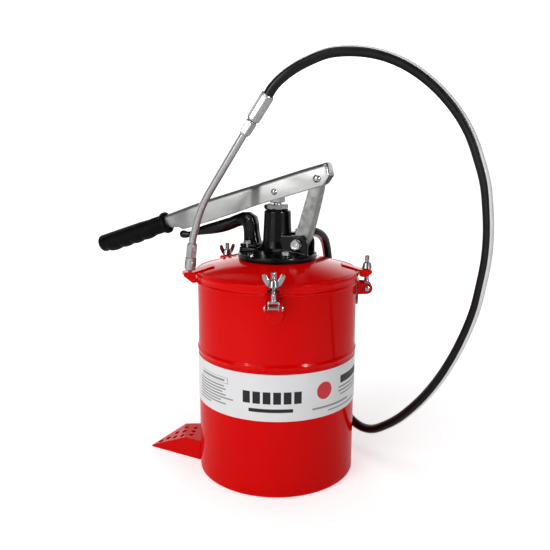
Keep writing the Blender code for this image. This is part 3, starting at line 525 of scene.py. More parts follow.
def solid(name, shape, place, material, replaces=(), sharp=32.0, body="drum_unit"):
    return piece(mesh_object(name, shape, place), material, replaces, sharp, body)


def at(x, y, z):
    return Matrix.Translation((x, y, z))


def station(bearing):
    return Matrix.Rotation(radians(bearing - 90), 4, "Z")


def toward(start, end):
    """The matrix at start whose +Z points to end."""
    turn = (Vector(end) - Vector(start)).to_track_quat("Z", "Y").to_matrix().to_4x4()
    return Matrix.Translation(start) @ turn


# ---- hose and wand

def smooth_line(points, step):
    """Points about one step apart on a Catmull-Rom curve through the given points."""
    knots = [Vector(p) for p in points]
    knots = [2 * knots[0] - knots[1], *knots, 2 * knots[-1] - knots[-2]]
    dense = []
    for a, b, c, d in zip(knots, knots[1:], knots[2:], knots[3:]):
        for i in range(16):
            t = i / 16
            dense.append(0.5 * (2 * b + (c - a) * t + (2 * a - 5 * b + 4 * c - d) * t * t
                                + (3 * b - a - 3 * c + d) * t ** 3))
    dense.append(knots[-2])
    length = sum((q - p).length for p, q in zip(dense, dense[1:]))
    count = round(length / step)
    picked = [dense[0]]
    walked = 0.0
    for p, q in zip(dense, dense[1:]):
        span = (q - p).length
        while len(picked) < count and walked + span >= length * len(picked) / count:
            picked.append(p.lerp(q, (length * len(picked) / count - walked) / span))
        walked += span
    return [*picked, dense[-1]], length


def hose_stripe(line):
    """The painted stripe on the hose: a thin skin that keeps to the outside of its loop."""
    camera_side = Vector((0, -1, 0.2)).normalized()
    spots = [(0.0, 74), (0.3, 74), (0.4, 62), (0.5, 44), (0.6, 32), (0.68, 32), (0.78, 48),
             (0.86, 52), (0.93, 68), (1.0, 82)]
    half = 34.0
    rings = []
    for i, (point, tangent, _, _) in enumerate(carried(line, (0, 0, 1))):
        facing = (camera_side - tangent * camera_side.dot(tangent)).normalized()
        outward = tangent.cross(facing)
        middle = along(spots, i / (len(line) - 1))
        ring = []
        for radius, order in ((HOSE_R + 0.1, 1), (HOSE_R - 0.25, -1)):
            angles = [middle + half * (2 * k / 8 - 1) for k in range(9)][::order]
            ring += [point + (facing * cos(radians(a)) + outward * sin(radians(a))) * radius
                     for a in angles]
        rings.append(ring)
    return loft(rings)


def make_hose():
    line, length = smooth_line(HOSE_POINTS, 6.0)
    hose = solid("delivery_hose", sweep(line, round_section(HOSE_R, 28)), WORLD, HOSE_BLACK, ["hose"])
    stripe = solid("hose_stripe_skin", hose_stripe(line[2:-2]), WORLD, STRIPE)

    for name, start, inside, long in (("ferrule_pump", line[0], line[2], 20.5),
                                      ("ferrule_wand", line[-1], line[-3], WAND_FERRULE_LENGTH)):
        away = start + (start - inside).normalized()
        place = toward(start, away)
        lip = turned([(7.6, 0.6), (9.4, 0.6), (10.0, 1.6), (10.0, 3.4), (9.2, 4.6), (7.6, 4.6)], 0.5, 64,
                     ring=True)
        crimp = hexagon(9.6, 3.4, long - 3.2, blunt=0.975, sides=8)
        collar = turned([(0, long - 5), (9.7, long - 5), (9.7, long - 1.2), (8.4, long), (0, long)],
                        0.8, 64)
        solid(name + "_shell", together(lip, crimp, collar), place, GALVANISED, [name], 24)

    last = Vector(HOSE_POINTS[-1])
    down = (last - Vector(HOSE_POINTS[-2])).normalized()
    start = last + down * (WAND_FERRULE_LENGTH + GAP)
    reach = (WAND_PIPE_TOP - start).length
    adapter = together(
        hexagon(8.1, 2.2, reach - 2.6, blunt=0.985),
        turned([(0, 0.5), (7.4, 0.5), (7.4, 3), (0, 3)], 0.6),
        turned([(0, reach - 4), (7.4, reach - 4), (7.0, reach), (0, reach)], 0.6))
    solid("wand_adapter_hex", adapter, toward(start, WAND_PIPE_TOP), GALVANISED,
                      ["wand_adapter"], 24)

    straight = (COUPLER_TOP - COUPLER_FOOT).normalized()
    lower = (WAND_BEND - COUPLER_TOP - straight * 6).normalized()
    upper = (WAND_PIPE_TOP - WAND_BEND).normalized()
    bend = arch(WAND_BEND - lower * 26, WAND_BEND, WAND_BEND + upper * 26, [k / 14 for k in range(15)])
    foot = [COUPLER_TOP + straight * GAP, COUPLER_TOP + straight * 3]
    knee = COUPLER_TOP + straight * 6
    turn = arch(foot[1], knee, knee + lower * 4, [k / 5 for k in range(1, 6)])
    pipe_line = [*foot, *turn, *bend, WAND_PIPE_TOP - upper]
    solid("wand_tube", sweep(pipe_line, round_section(PIPE_R, 32)), WORLD, GALVANISED, ["wand_pipe"])

    place = toward(COUPLER_FOOT, COUPLER_TOP)
    top = (COUPLER_TOP - COUPLER_FOOT).length - GAP
    coupler = together(
        hexagon(7.6, 22.2, top - 1.6, blunt=0.985),
        turned([(0, top - 3), (7.2, top - 3), (7.2, top - 0.8), (6.4, top), (0, top)], 0.5),
        lathe([(0, 24), (4.8, 24), (4.8, 8.2), (0, 8.2)], 48))
    solid("coupler_hex", coupler, place, GALVANISED, ["coupler_body"], 24)

    rings = []
    for z, radius, rough in ((21.6, 7.9, 0), (21.0, 8.6, 0), (17.6, 8.6, 0), (17.2, 8.3, 0),
                             (16.6, 8.3, 0), (16.2, 8.65, 1), (14.8, 8.65, -1), (13.4, 8.65, 1),
                             (12.0, 8.65, -1), (10.6, 8.65, 1), (9.2, 8.65, -1), (7.8, 8.65, 1),
                             (6.6, 8.6, 0), (3.8, 8.6, 0), (2.8, 7.8, 0), (2.6, 3.7, 0), (7.8, 3.7, 0),
                             (7.9, 5.15, 0), (21.6, 5.15, 0)):
        rings.append(around([radius + rough * (0.16 if i % 4 < 2 else -0.16) for i in range(96)], z))
    solid("coupler_knurled_sleeve", loft(rings, closed=False), place, GALVANISED,
          ["coupler_sleeve"], 28, "sleeve_body")


# ---- drum, band, lid, pedal

def make_drum():
    inner = DRUM_R - 1.2
    profile = [(0, 1.5), (inner - 2.5, 1.5), (inner, 4.5, 2), (inner, 318, 0.4), (DRUM_R, 318, 0.4)]
    profile += [(DRUM_R + 1.8 * (0.5 + 0.5 * cos(pi * t)) ** 0.8, BEAD_Z - t * 4.6)
                for t in (-1 + 2 * k / 16 for k in range(17))]
    profile += [(DRUM_R, 120), (DRUM_R, 8.2), (DRUM_R + 0.25, 7.2, 0.5), (DRUM_R + 0.25, 2.4, 1.6),
                (DRUM_R - 2.6, 0, 1.2), (DRUM_R - 5, 0, 0.8), (DRUM_R - 6.5, 1.0), (0, 1.0)]
    solid("drum_shell", turned(profile, 0, ROUND_STEPS), WORLD, RED, ["drum"], 40)
    band = loop([(DRUM_R + 0.3, BAND_LOW), (DRUM_R + 0.7, BAND_LOW), (DRUM_R + 0.7, BAND_HIGH),
                 (DRUM_R + 0.3, BAND_HIGH)], 0.15)
    solid("printed_band", lathe(band, ROUND_STEPS, ring=True), WORLD, WHITE, ["label_band"])


def patch(left, right, low, high, height=0.08):
    """A printed area on the band between two bearings (from the front, towards +X)."""
    steps = max(int((right - left) / 1.5), 2)
    corners = ((PRINT_R, low), (PRINT_R + height, low), (PRINT_R + height, high), (PRINT_R, high))
    rings = []
    for k in range(steps + 1):
        angle = radians(left + (right - left) * k / steps)
        rings.append([(r * sin(angle), -r * cos(angle), z) for r, z in corners])
    return loft(rings)


def make_print():
    """Plain blocks where the band has its print."""
    grey = [patch(-66, -35, 181, 181.6), patch(-66, -35, 172, 172.6), patch(-35.4, -35, 172, 181.6)]
    grey.append(patch(-64, -38, 175.2, 178.4))
    for row, share in enumerate((0.95, 1.0, 0.9, 1.0, 1.2, 0.85, 1.0, 0.5)):
        low = 166.5 - row * 4.6
        grey.append(patch(-68, -68 + 31 * share, low, low + 2.2))
    grey += [patch(48, 84, 160, 162.4), patch(48, 80, 154, 156.4), patch(50, 84, 148.5, 150.5),
             patch(25, 60, 136.5, 139.5), patch(38, 72, 130, 132)]
    solid("print_rules", together(*grey), WORLD, GREY_INK)
    black = [patch(-23.2 + 7.0 * i, -18.0 + 7.0 * i, 150, 168.5) for i in range(6)]
    black += [patch(-19, 11.2, 137, 142.5), patch(50, 84, 167, 179)]
    solid("print_bars", together(*black), WORLD, INK)
    disc = []
    for radius, lift in ((0.01, 0.09), (3, 0.09), (6, 0.09), (9, 0.09), (11.5, 0.09), (13.5, 0.09),
                         (13.5, 0.0), (11.5, -0.1), (0.01, -0.3)):
        ring = []
        for i in range(48):
            turn = 2 * pi * i / 48
            angle = radians(34.5) + radius * cos(turn) / DRUM_R
            out = PRINT_R + lift
            ring.append((out * sin(angle), -out * cos(angle), 164 + radius * sin(turn)))
        disc.append(ring)
    solid("print_disc", loft(disc), WORLD, RED_INK)


def dome_height(radius):
    share = (LID_RIM_R - 2.4 - radius) / (LID_RIM_R - 2.4 - LID_TOP_R)
    return LID_RIM_Z + 2.2 + (LID_TOP_Z - LID_RIM_Z - 2.2) * (1.25 * share - 0.25 * share * share)


def make_lid():
    outer = [(24, LID_TOP_Z, 0.4), (LID_TOP_R - 1.5, LID_TOP_Z, 2)]
    outer += [(r, dome_height(r)) for r in (66, 72, 80, 88, 96, 104, 110, 116, 120, 122.8)]
    outer += [(124.4, 327.0, 0.6), (126.2, 327.9, 1.2), (128.4, 326.4, 1.4), (128.7, 322.6, 1.2),
              (127.2, 319.2, 1.4), (127.1, 315.0, 1.2), (128.9, 313.0, 0.9), (128.7, 311.2, 0.8),
              (127.4, 310.6, 0.5)]
    inner = [(126.4, 310.8, 0.3), (126.3, 323.6, 0.8)]
    inner += [(r, dome_height(r) - 1.2) for r in (123, 116, 104, 88, 72)]
    inner += [(LID_TOP_R, LID_TOP_Z - 1.2, 1), (24, LID_TOP_Z - 1.2, 0.3)]
    solid("lid_pressing", turned(outer + inner, 0, ROUND_STEPS, ring=True), WORLD, RED, ["lid"],
          38)


def make_pedal():
    tip, near, far = Vector((-217.5, 46.0)), Vector((-116.0, -9.0)), Vector((-100.0, 73.0))
    bend, aim = Vector((-159.7, 70.0)), Vector((-108.0, 55.0))
    climb, top, sheet = 55.8, 32.5, 2.0
    run = aim - tip
    ahead = run.normalized()
    across = Vector((-ahead.y, ahead.x))
    plane = (at(tip.x, tip.y, 2.2) @ Matrix.Rotation(atan2(run.y, run.x), 4, "Z")
             @ Matrix.Rotation(-atan2(climb, run.length), 4, "Y"))

    def wedge(name, inward):
        beyond = ahead * 30 if inward else ahead * 0
        outline = [tip + ahead * inward * 3.3, near + across * inward * 1.15 + beyond,
                   far - across * inward + beyond, bend - across * inward * 1.1]
        body = mesh_object(name, prism(outline, -inward * 5, top - inward, 0))
        over = mesh_object(name + "_over", prism([(-40, -120), (260, -120), (260, 120), (-40, 120)],
                                                 -inward, 140, 0), plane)
        return cut_out(body, over)

    pedal = wedge("foot_pedal", 0)
    wall = lathe([(0, 120), (DRUM_R + 0.5, 120), (DRUM_R + 0.5, -20), (0, -20)], ROUND_STEPS)
    cutters = [wedge("pedal_hollow", sheet), mesh_object("pedal_wall", wall)]
    middle = ((near + far) / 2 - tip).normalized()
    beside = Vector((-middle.y, middle.x))
    for distance, count in ((18, 1), (31, 1), (45, 2), (60, 3), (76, 3)):
        for i in range(count):
            spot = tip + middle * distance + beside * (i - (count - 1) / 2) * 14
            hole = lathe([(0, 80), (3.6, 80), (3.6, 6), (0, 6)], 28)
            cutters.append(mesh_object("pedal_hole", hole, at(spot.x, spot.y, 0)))
    cut_out(pedal, *cutters)
    melted(pedal, 0.75, 4)
    piece(pedal, RED, ["pedal"])


# ---- lugs and clamps

def make_lug(name, node, bearing, slotted):
    place = station(bearing)
    under = [(x, dome_height(x) + 0.3) for x in (101, 108, 116, 122, 125.6)]
    over = [(x, z + 2.0) for x, z in reversed(under)]
    strap = [*under, (130.4, LUG_TOP - 2.4, 1), (LUG_TIP, LUG_TOP - 2.4, 0.5),
             (LUG_TIP, LUG_TOP - 1.2, 1.2), (LUG_TIP - 3, LUG_TOP, 1.5), (130.5, LUG_TOP, 3), *over]
    strap = prism(loop(strap), -11, 11, 0.7)
    keel = [(128.4, 318.4, 2), (132.5, 317.0, 4), (137, 316.2, 6), (141.5, 317.4, 5)]
    if not slotted:
        keel = [(128.4, 311.4, 1.5), (135, 311, 3)]
    cheek = loop([(129.6, LUG_TOP - 0.4), *keel, (LUG_TIP, LUG_TOP - 5.5, 2.5),
                  (LUG_TIP, LUG_TOP - 3.0, 1.5), (LUG_TIP - 3, LUG_TOP - 0.4, 1)], 0.5)
    cheeks = [prism(cheek, low, low + 2.2, 0.7) for low in (-11, 8.8)]
    shapes = [on_side(s) for s in (strap, *cheeks)]
    lug = melted(mesh_object(name, together(*shapes), place), 0.62, 3)
    if slotted:
        mouth = 4.9
        slot = loop([(PIN_X - 7.4, -mouth, 4.8), (170, -mouth), (170, mouth), (PIN_X - 7.4, mouth, 4.8)],
                    0, 10)
        cut_out(lug, mesh_object("slot", prism(slot, 320, 340, 0), place))
    piece(lug, RED, [node])


def make_clamp(side, bearing):
    place = station(bearing)
    hinge = place @ at(PIN_X, 0, PIN_Z)
    across = hinge @ SIDE_ON
    make_lug("lug_" + side, "lid_lug_" + side, bearing, True)
    # Painted shade: a black plate inside the lug behind the bolt stands in for the shadow in the open
    # channel; the real lug has no such part
    back = prism([(129.5, 317.4), (130.3, 317.4), (130.3, 325.8), (129.5, 325.8)], -8.9, 8.9, 0.2)
    solid("lug_painted_shade_plate_" + side, on_side(back), place, CAST)

    tongue = [(-13.5, 309.5, 1), (13.5, 309.5, 1), (13.5, 284)]
    tongue += arc(0, 284, 13.5, range(-10, -180, -10))
    tongue += [(-13.5, 284)]
    upright = place @ at(DRUM_R + 1.5, 0, 0) @ Matrix.Rotation(pi / 2, 4, "Z") @ SIDE_ON
    base = moved(prism(loop(tongue), -1.1, 1.1, 0.6), upright)
    ear = [(126.6, PIN_Z - 9.6, 0.4), *arc(PIN_X, PIN_Z, 9, range(-90, 91, 12)),
           (126.6, PIN_Z + 9.6, 0.4)]
    ears = [moved(prism(loop(ear), mid - 1, mid + 1, 0.6), place @ SIDE_ON)
            for mid in (-EAR_AT, EAR_AT)]
    bracket = melted(mesh_object("bracket_" + side, together(base, *ears)), 0.62, 2)
    piece(bracket, RED, ["clamp_bracket_" + side])

    seat = EAR_AT + 1.3
    head = [(0, seat + 3.0), (2.4, seat + 2.8), (4.0, seat + 2.0), (4.8, seat + 0.6), (4.8, seat),
            (2.8, seat)]
    pin = head + [(r, -z) for r, z in reversed(head)]
    solid("hinge_pin_" + side, lathe(pin, 40), across, ZINC, ["clamp_pin_" + side])

    rides = "swing_bolt_body_" + side
    bar = [moved(turned([(0, low), (4.5, low), (4.5, low + 2.9), (0, low + 2.6)], 0.6, 40),
                 SIDE_ON) for low in (-9.1, 6.5)]
    bow = [(-8.9, 0), (-8.9, 7.2, 2.4), (-6.6, 10.5, 1.6), (6.6, 10.5, 1.6), (8.9, 7.2, 2.4), (8.9, 0),
           (6.5, 0), (6.5, 6.8, 1.8), (-6.5, 6.8, 1.8), (-6.5, 0)]
    bow = moved(prism(loop(bow), -4.2, 4.2, 0.8), Matrix.Rotation(pi / 2, 4, "Z") @ SIDE_ON)
    neck = lathe([(0, 8), (4.4, 8), (4.2, 11.5), (3.7, 14), (3.7, 20), (0, 20)], 32)
    yoke = melted(mesh_object("yoke_" + side, together(*bar, bow, neck), hinge), 0.5, 2)
    piece(yoke, ZINC, ["swing_bolt_" + side], body=rides)
    solid("thread_" + side, thread(3.8, 17, CLAMP_TOP - PIN_Z), hinge, ZINC, (), 60, rides)

    base_z = LUG_TOP + GAP - PIN_Z
    nut = [turned([(4.3, base_z, 0), (7.6, base_z, 0.4), (7.6, base_z + 1.2, 0.5),
                   (6.2, base_z + 9.0, 1.2), (5.6, base_z + 10, 0.5), (4.3, base_z + 10, 0)], 0.4,
                  ring=True)]
    for hand in (-1, 1):
        line = [(5.2, 4.0), (7.8, 6.2), (10.0, 9.2), (11.6, 12.4), (12.6, 15.4), (13.6, 18.0)]
        blade = [Vector((0, hand * y, base_z + z)) for y, z in line]
        wide = [4.6, 4.2, 3.9, 3.8, 3.7, 2.6]

        def section(i):
            w, t = wide[i], 1.6 if i < 5 else 1.2
            return [(w * cos(a), t * sin(a) * (0.62 + 0.38 * abs(cos(a))))
                    for a in (2 * pi * k / 24 for k in range(24))]
        nut.append(sweep(blade, section, up=(0, hand, -0.6)))
    wing = melted(mesh_object("wing_nut_pressing_" + side, together(*nut), hinge), 0.5, 2)
    piece(wing, ZINC, ["wing_nut_" + side], body="wing_nut_body_" + side)


def make_rest():
    make_lug("wand_rest", "nozzle_rest", REST_BEARING, False)
    stub = turned([(0, 7.5), (1.8, 7.5), (3.0, 5.5), (3.0, -2.6), (0, -2.6)], 0.3, 32)
    solid("wand_rest_stub", stub, toward(COUPLER_FOOT, COUPLER_TOP), ZINC)


# ---- pump head

def make_head():
    barrel = turned([(0, 419), (20.6, 419, 1.6), (20.9, 408), (21.6, 392), (22.6, 372, 6), (24, 362, 4),
                     (29, 357.5, 5), (44, 356, 6), (58.5, 353.4, 1.5), (62, 353, 1.5), (62, 346.3, 1.0),
                     (21.5, 346.3, 0.5), (21.5, 338.3, 0.5), (0, 338.3)], 0, 128)
    foot_x, foot_z = STRUT_FOOT.x, STRUT_FOOT.z
    cheek = [(8, 351), (56, 351, 2)]
    cheek += arc(foot_x, foot_z, 17, range(0, 61, 10))
    cheek += arc(foot_x - 4, foot_z, 13.6, (70, 80, 90))
    cheek += [(8, foot_z + 13.6, 1)]
    cheeks = [on_side(prism(loop(cheek), low, low + 6, 1.4))
              for low in (-18.6, 12.6)]
    boss = prism(loop([(-57, -23.5, 7), (-27, -23.5, 4), (-27, 23.5, 4), (-57, 23.5, 7)]), 350, 361, 1.5)
    to_port = HEAD.inverted() @ PORT @ OUTWARD
    port_boss = moved(turned([(0, 28), (9.6, 28, 1), (10.4, 14), (11, 8), (0, 8)], 0, 64), to_port)
    seat = turned([(0, 356.9), (8.4, 356.9, 0.6), (9.2, 352), (0, 352)])
    seats = [moved(seat, at(30.2, y, 0)) for y in (-42.3, 42.3)]
    casting = mesh_object("head_casting", together(barrel, *cheeks, boss, port_boss, *seats), HEAD)
    melted(casting, 0.9, 4)
    bore = lathe([(0, 430), (10.4, 430), (10.4, 405), (0, 405)], 48)
    tube_bore = lathe([(0, 361), (15.3, 361), (15.3, 330), (0, 330)], 48)
    cut_out(casting, mesh_object("bore", bore, HEAD), mesh_object("tube_bore", tube_bore, HEAD))
    piece(casting, CAST, ["pump_head"])

    screw = together(turned([(0, 0), (6.6, 0, 0.2), (6.6, 1.2, 0.3), (0, 1.2)]),
                     hexagon(5.0, 1.0, 5.0, bottom=False),
                     lathe([(0, 0.4), (3.9, 0.4), (3.9, -8), (0, -8)], 32))
    for name, x, y, seat in (("flange_screw", 30.2, 42.3, 357.3), ("handle_screw", -43, 17, 366.8)):
        for end, hand in (("_front", -1), ("_rear", 1)):
            solid(name + end + "_hex", screw, HEAD @ at(x, hand * y, seat) @ Matrix.Rotation(0.3, 4, "Z"),
                  ZINC, [name + end], 24)


def make_handle():
    run = [(-42, 363, 13.4), (-42.5, 368, 13.1), (-43.3, 376, 12.2), (-44.1, 384, 11.6), (-45.1, 394, 12.0),
           (-47, 399.5, 13.2), (-51.5, 402.5, 12.2), (-57.5, 402.6, 10.8), (-64.5, 400.4, 9.9),
           (-71.5, 398, 9.7), (-79.5, 394.3, 9.8), (-89.5, 390.8, 10.0), (-99.5, 387.7, 9.8),
           (-109.5, 385, 9.3), (-119.5, 382.7, 8.6), (-129.5, 380.3, 7.6), (-139.5, 377.6, 6.3),
           (-148.5, 374.4, 5.2), (-155.5, 371.9, 4.6), (-161.5, 370.9, 5.6), (-166.5, 371.2, 6.5),
           (-170.5, 371.9, 5.9), (-173.3, 372.4, 3.4)]
    line = [Vector((x, 0, z)) for x, z, _ in run]
    wide = [radius for _, _, radius in run]

    def section(i):
        points = []
        square = 0.62 if i < 8 else 0.8
        for k in range(40):
            a = 2 * pi * k / 40
            c, s = cos(a), sin(a)
            r = 1.0 / (abs(c) ** (2 / square) + abs(s) ** (2 / square)) ** (square / 2)
            points.append((wide[i] * r * c, wide[i] * r * s * 0.96))
        return points

    arm = sweep(line, section, up=(1, 0, 0))
    foot = prism(loop([(-56.5, -23, 8), (-27.5, -23, 5), (-27.5, 23, 5), (-56.5, 23, 8)]), 361.3, 366.5,
                 1.2)
    handle = melted(mesh_object("carrying_handle", together(arm, foot), HEAD), 0.95, 5)
    spots = []
    for y in (-17, 17):
        spot = lathe([(0, 386), (10.2, 386), (10.2, 366.7), (4.3, 366.7), (4.3, 358), (0, 358)], 48)
        spots.append(mesh_object("spot", spot, HEAD @ at(-43, y + (3 if y > 0 else -3), 0)))
    cut_out(handle, *spots)
    piece(handle, CAST, ["carry_handle"])


def make_gland():
    washer = turned([(6.5, 419.3), (16.6, 419.3, 0.4), (16.6, 421, 0.4), (6.5, 421)], 0, 64, ring=True)
    hook = loop([(-13, 419.3), (-18, 419.3, 1.5), (-20.4, 421, 1.5), (-21.4, 423.6, 1.5),
                 (-20.8, 426.6, 0.6), (-19.0, 427.4, 0.6), (-18.8, 424.2, 1.2), (-17.8, 421.8, 1.2),
                 (-13, 421)], 0.1)
    tab = on_side(prism(hook, -4, 4, 0.3))
    solid("wiper_washer", together(washer, tab), HEAD, RUBBER, ["gland_wiper"])
    nut = hexagon(14.7, 421.3, 428.8, 6.4)
    solid("gland_hex", nut, HEAD, ZINC, ["gland_nut"], 24)


# ---- linkage

def make_lever():
    top = rounded([(90, 497.14), (40.1, 482.2, 60), (-30.8, 459.2, 200), (-116.1, 432.2, 200),
                   (-167.5, 413.9, 100), (-203.8, 400.1), (-212, 397.0)], 0, count=8)
    bottom = rounded([(77.5, 460.6), (41.6, 449.2, 80), (-30.7, 426.6, 120), (-74, 410.9, 150),
                      (-122.4, 393.9, 150), (-145.5, 386.8, 60), (-161.5, 381.0, 14), (-169.5, 380.2, 6),
                      (-174.5, 383.0, 4), (-179, 382.2, 6), (-193.9, 380.3), (-205, 376.6)], 0, count=8)
    pairs = [((86.0, 475.6), (85.7, 473.6)), ((85.8, 480), (84.6, 471.7)), ((85.2, 485.5), (83.0, 469.3)),
             ((84.2, 490.0), (81.4, 466.7)), ((82.2, 493.0), (79.8, 464.3)), ((79.2, 494.1), (78.2, 461.9))]
    stops = [74, 66, 56, 46, 40, 34, 24, 12, 0, -12, -20, -24, -26, -28, -30, -32, -34, -36, -38, -40,
             -44, -54, -66, -78, -90, -102, -112, -122, -132, -140, -146, -151, -156, -160, -164, -167,
             -170, -173, -176, -179, -182, -185, -188, -191, -194, -196.7]
    stations = [(t, b, 14.4, 8.5, 0.0) for t, b in pairs]
    for x in stops:
        back = 7.1 * smoothstep(-x, 165, 191)
        half = 14.4 - 4.0 * smoothstep(-x, 22, 42) - 2.8 * smoothstep(-x, 150, 182)
        curl = smoothstep(-x, 150, 178)
        corner = 8.5 - 0.5 * smoothstep(-x, 22, 42) - 0.7 * curl
        stations.append(((x - back, along(top, x - back)), (x, along(bottom, x)), half, corner, curl))
    lever = mesh_object("lever_pressing", channel(stations, 2.0), HEAD)
    piece(bevelled(lever), PRESSED, ["lever"], 40, "lever_body")

    start, end = Vector((-188.5, 0, 392.4)), Vector((-319, 0, 347.5))
    place = HEAD @ toward(start, end)
    bar = turned([(0, 0), (7.5, 0, 0.5), (7.5, (end - start).length, 1), (0, (end - start).length)])
    solid("lever_bar", bar, place, ZINC, body="lever_body")

    seat = RIVET_SEAT
    pin = [(0, seat + 2.8), (2.2, seat + 2.6), (3.8, seat + 1.9), (4.7, seat + 0.9), (4.8, seat),
           (4.0, seat), (4.0, -seat), (5.4, -seat), (5.4, -seat - 1.6), (4.8, -seat - 1.9), (0, -seat - 1.9)]
    solid("rod_rivet", lathe(pin, 48), HEAD_SIDE @ at(ROD_PIN.x, ROD_PIN.z, 0), ZINC,
          ["rod_pin"], body="lever_body")

    grip_from, grip_to = Vector((-197.0, 0, 389.5)), Vector((-329.3, 0, 343.9))
    length = (grip_to - grip_from).length
    place = HEAD @ toward(grip_from, grip_to)
    down = place.to_3x3().inverted() @ Vector((0, 0, -1))
    down_angle = atan2(down.y, down.x)
    levels = [(0, 15.2), (0, 16.8), (0.6, 17.5), (1.4, 17.8), (5.6, 17.8), (6.4, 17.4), (7.2, 16.0),
              (8.4, 14.7)]
    rib = 9.4
    while rib < 27:
        levels += [(rib, 14.2), (rib + 0.5, 14.7), (rib + 1.1, 14.7), (rib + 1.6, 14.2), (rib + 2.2, 14.0)]
        rib += 2.8
    levels += [(28 + 1.5 * k, 14.4 + 0.9 * smoothstep(k, 0, 20)) for k in range(int((length - 34) / 1.5))]
    levels += [(length - 5, 15.4), (length - 3, 15.0), (length - 1.6, 14.2), (length - 0.5, 12.8),
               (length, 10.5)]
    valleys = (30, 54, 78, 101, 126)
    rings = [circle(7.9, 6, 72), circle(15.2, 6, 72)]
    for z, radius in levels:
        bump = 0.0
        for low, high in zip(valleys, valleys[1:]):
            if low < z < high:
                bump = 2.3 * sin(pi * (z - low) / (high - low)) ** 0.6
        swell = bump - 1.2 * (z > 29 and bump < 0.5)
        rings.append(around([radius + swell * max(cos(2 * pi * i / 72 - down_angle), 0.0) ** 1.3
                             for i in range(72)], z))
    rings.append([(0, 0, length)])
    solid("rubber_grip", loft(rings), place, RUBBER, ["lever_grip"], 45, "lever_body")


def make_strut():
    rows = [arc(0, 0, 12, pair) for pair in ((-76, -104), (-60, -120), (-44, -135))]
    rows += [((x, z), (-8.5, z)) for x, z in (
        (11.0, -5), (11.8, -2), (12.2, 2), (12.9, 6), (13.4, 10), (13.5, 18), (13.5, 26), (13.4, 34),
        (12.9, 44), (12.3, 56), (11.6, 70), (10.5, 84), (9.3, 95), (9, STRUT_LENGTH))]
    rows += [arc(0, STRUT_LENGTH, 9, pair) for pair in ((20, 158), (40, 140), (60, 120), (75, 105))]
    stations = [(t, b, 11.8, 3.2, 0.0) for t, b in rows]
    strut = mesh_object("strut_pressing", channel(stations, 2.0, 4.0), STRUT)
    piece(bevelled(strut), DULL, ["strut"], 40, "strut_body")

    seat = RIVET_SEAT
    pin = [(0, seat + 3.4), (2.6, seat + 3.1), (4.6, seat + 2.2), (5.7, seat + 1.0), (5.8, seat), (5, seat),
           (5, -seat), (6.6, -seat), (6.6, -seat - 2.0), (5.8, -seat - 2.3), (0, -seat - 2.3)]
    solid("strut_rivet", lathe(pin, 48), STRUT @ at(0, 0, STRUT_LENGTH) @ SIDE_ON, ZINC,
          ["strut_pin"], body="strut_body")
    place = HEAD_SIDE @ at(STRUT_FOOT.x, STRUT_FOOT.z, 0)
    bolt = together(hexagon(7.1, 20.3, 26.0, bottom=False),
                    turned([(0, 18.9), (8.2, 18.9, 0.3), (8.2, 20.5, 0.4), (0, 20.5)]),
                    lathe([(0, 19.5), (5, 19.5), (5, -30), (4.4, -30.6), (0, -30.6)], 40),
                    lathe([(0, 27.0), (2.8, 27.0), (3.2, 26.6), (3.2, 25.5), (0, 25.5)], 24))
    solid("strut_bolt_hex", bolt, place, ZINC, ["strut_bolt"], 24)
    solid("strut_nut_hex", hexagon(7.8, -27, -18.9, 5.3), place, ZINC, ["strut_nut"], 24)


def make_rod():
    solid("polished_rod", lathe([(0, 434), (5.2, 434), (6, 433), (6, 62.4), (0, 62.4)], 64), HEAD, STEEL,
          ["pump_rod"], body="rod_body")
    eye = [(-9, 431, 1), (9, 431, 1), (9, 449), *arc(0, 449, 9, (20, 40, 60, 80, 90)),
           *arc(-5, 449, 9, (90, 110, 130, 150, 170, 180)), (-14, 445, 2), (-9, 438, 2)]
    solid("rod_fork", on_side(prism(loop(eye), -9.8, 9.8, 1.2)), HEAD, ZINC, ["rod_head"],
          body="rod_body")


def make_inner():
    """The turned pieces inside, which only show when the drum is opened."""
    solid("suction_tube", lathe([(15, 361), (15, 27), (12, 27), (12, 361)], 96, ring=True), HEAD, STEEL,
          ["pump_tube"])
    piston = [(0, 62), (9.5, 62), (11.5, 60), (11.5, 52), (5, 52), (5, 42), (0, 42)]
    solid("piston_turned", lathe(piston, 96), HEAD, STEEL, ["piston"], body="rod_body")
    rubber = ("lid_gasket", "flange_gasket", "gland_packing", "piston_cup", "follower_seal")
    steel = ("foot_valve", "foot_ball", "outlet_ball", "outlet_spring", "follower_plate")
    for node in rubber + steel:
        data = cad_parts[node].data
        data.materials.clear()
        data.materials.append(RUBBER if node in rubber else STEEL)
    solid("outlet_hex", hexagon(8.3, 29.3, 40, 4.0), PORT @ OUTWARD, ZINC,
          ["outlet_nipple"], 24)


# ---- floor and light

def make_floor():
    """A pale floor that turns to plain white far from the object."""
    mesh = bpy.data.meshes.new("floor")
    half = 60.0
    corners = [(-half, -half, 0), (half, -half, 0), (half, half, 0), (-half, half, 0)]
    mesh.from_pydata(corners, [], [(0, 1, 2, 3)])
    floor = bpy.data.objects.new("floor", mesh)
    bpy.context.scene.collection.objects.link(floor)
    white = surface("floor_white", (0.9, 0.9, 0.9), 0.8, tint=(0.88, 0.88, 0.88), specular=0.0,
                    patches=0.5)
    tree = white.node_tree
    link = tree.links.new
    far = add_node(tree, "VectorMath")
    far.operation = "LENGTH"
    link(add_node(tree, "TexCoord").outputs["Object"], far.inputs[0])
    rise = ramp(tree, far.outputs["Value"], 0.15, 1.1, 0.5, 1.0)
    seen = ramp(tree, add_node(tree, "LightPath").outputs["Is Camera Ray"], 0.0, 1.0, 0.5, 1.0)
    shader = tree.nodes["Principled BSDF"]
    shader.inputs["Emission Color"].default_value = (1, 1, 1, 1)
    link(combine(tree, "MULTIPLY", rise, seen), shader.inputs["Emission Strength"])
    mesh.materials.append(white)


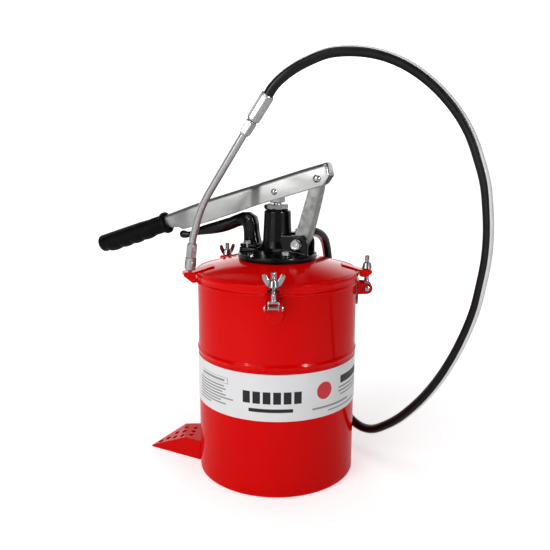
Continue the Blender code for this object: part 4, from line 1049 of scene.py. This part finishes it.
def area_light(name, place, target, width, height, power):
    data = bpy.data.lights.new(name, "AREA")
    data.shape = "RECTANGLE"
    data.size = width
    data.size_y = height
    data.energy = power
    light = bpy.data.objects.new(name, data)
    light.location = place
    light.rotation_euler = (Vector(target) - Vector(place)).to_track_quat("-Z", "Y").to_euler()
    bpy.context.scene.collection.objects.link(light)
    return light


def make_light():
    """White paper behind and a dark room above and in front, lit by soft boxes."""
    world = bpy.data.worlds.new("studio")
    bpy.context.scene.world = world
    world.use_nodes = True
    tree = world.node_tree
    split = add_node(tree, "SeparateXYZ")
    tree.links.new(add_node(tree, "TexCoord").outputs["Generated"], split.inputs["Vector"])

    paper = combine(tree, "MULTIPLY", ramp(tree, split.outputs["Y"], 0.1, 0.8, 0.0, 1.0),
                    ramp(tree, split.outputs["Z"], 0.3, 0.62, 1.0, 0.0))
    room = combine(tree, "ADD", combine(tree, "MULTIPLY", paper, 2.0), 0.03)
    seen = add_node(tree, "LightPath").outputs["Is Camera Ray"]
    total = combine(tree, "MAXIMUM", room, combine(tree, "MULTIPLY", seen, 1.1))
    background = tree.nodes["Background"]
    tree.links.new(total, background.inputs["Strength"])
    background.inputs["Color"].default_value = (1, 1, 1, 1)
    area_light("key", (-1.5, -1.7, 1.2), (0, 0, 0.25), 1.7, 2.0, 31)
    area_light("fill", (1.7, -1.5, 0.9), (0, 0, 0.25), 0.5, 1.3, 5)
    area_light("overhead", (0, -0.35, 1.9), (0, 0, 0.3), 1.0, 1.0, 9)
    for x, power in ((-0.95, 5), (0.9, 22)):
        streak = area_light("streak", (x, -1.05, 0.8), (0, 0, 0.32), 0.07, 0.45, power)
        streak.visible_diffuse = False
    bpy.context.scene.view_settings.view_transform = "Standard"


make_camera()
make_hose()
make_drum()
make_print()
make_lid()
make_pedal()
for clamp_side, clamp_bearing in CLAMPS.items():
    make_clamp(clamp_side, clamp_bearing)
make_rest()
make_head()
make_handle()
make_gland()
make_lever()
make_strut()
make_rod()
make_inner()
make_floor()
make_light()
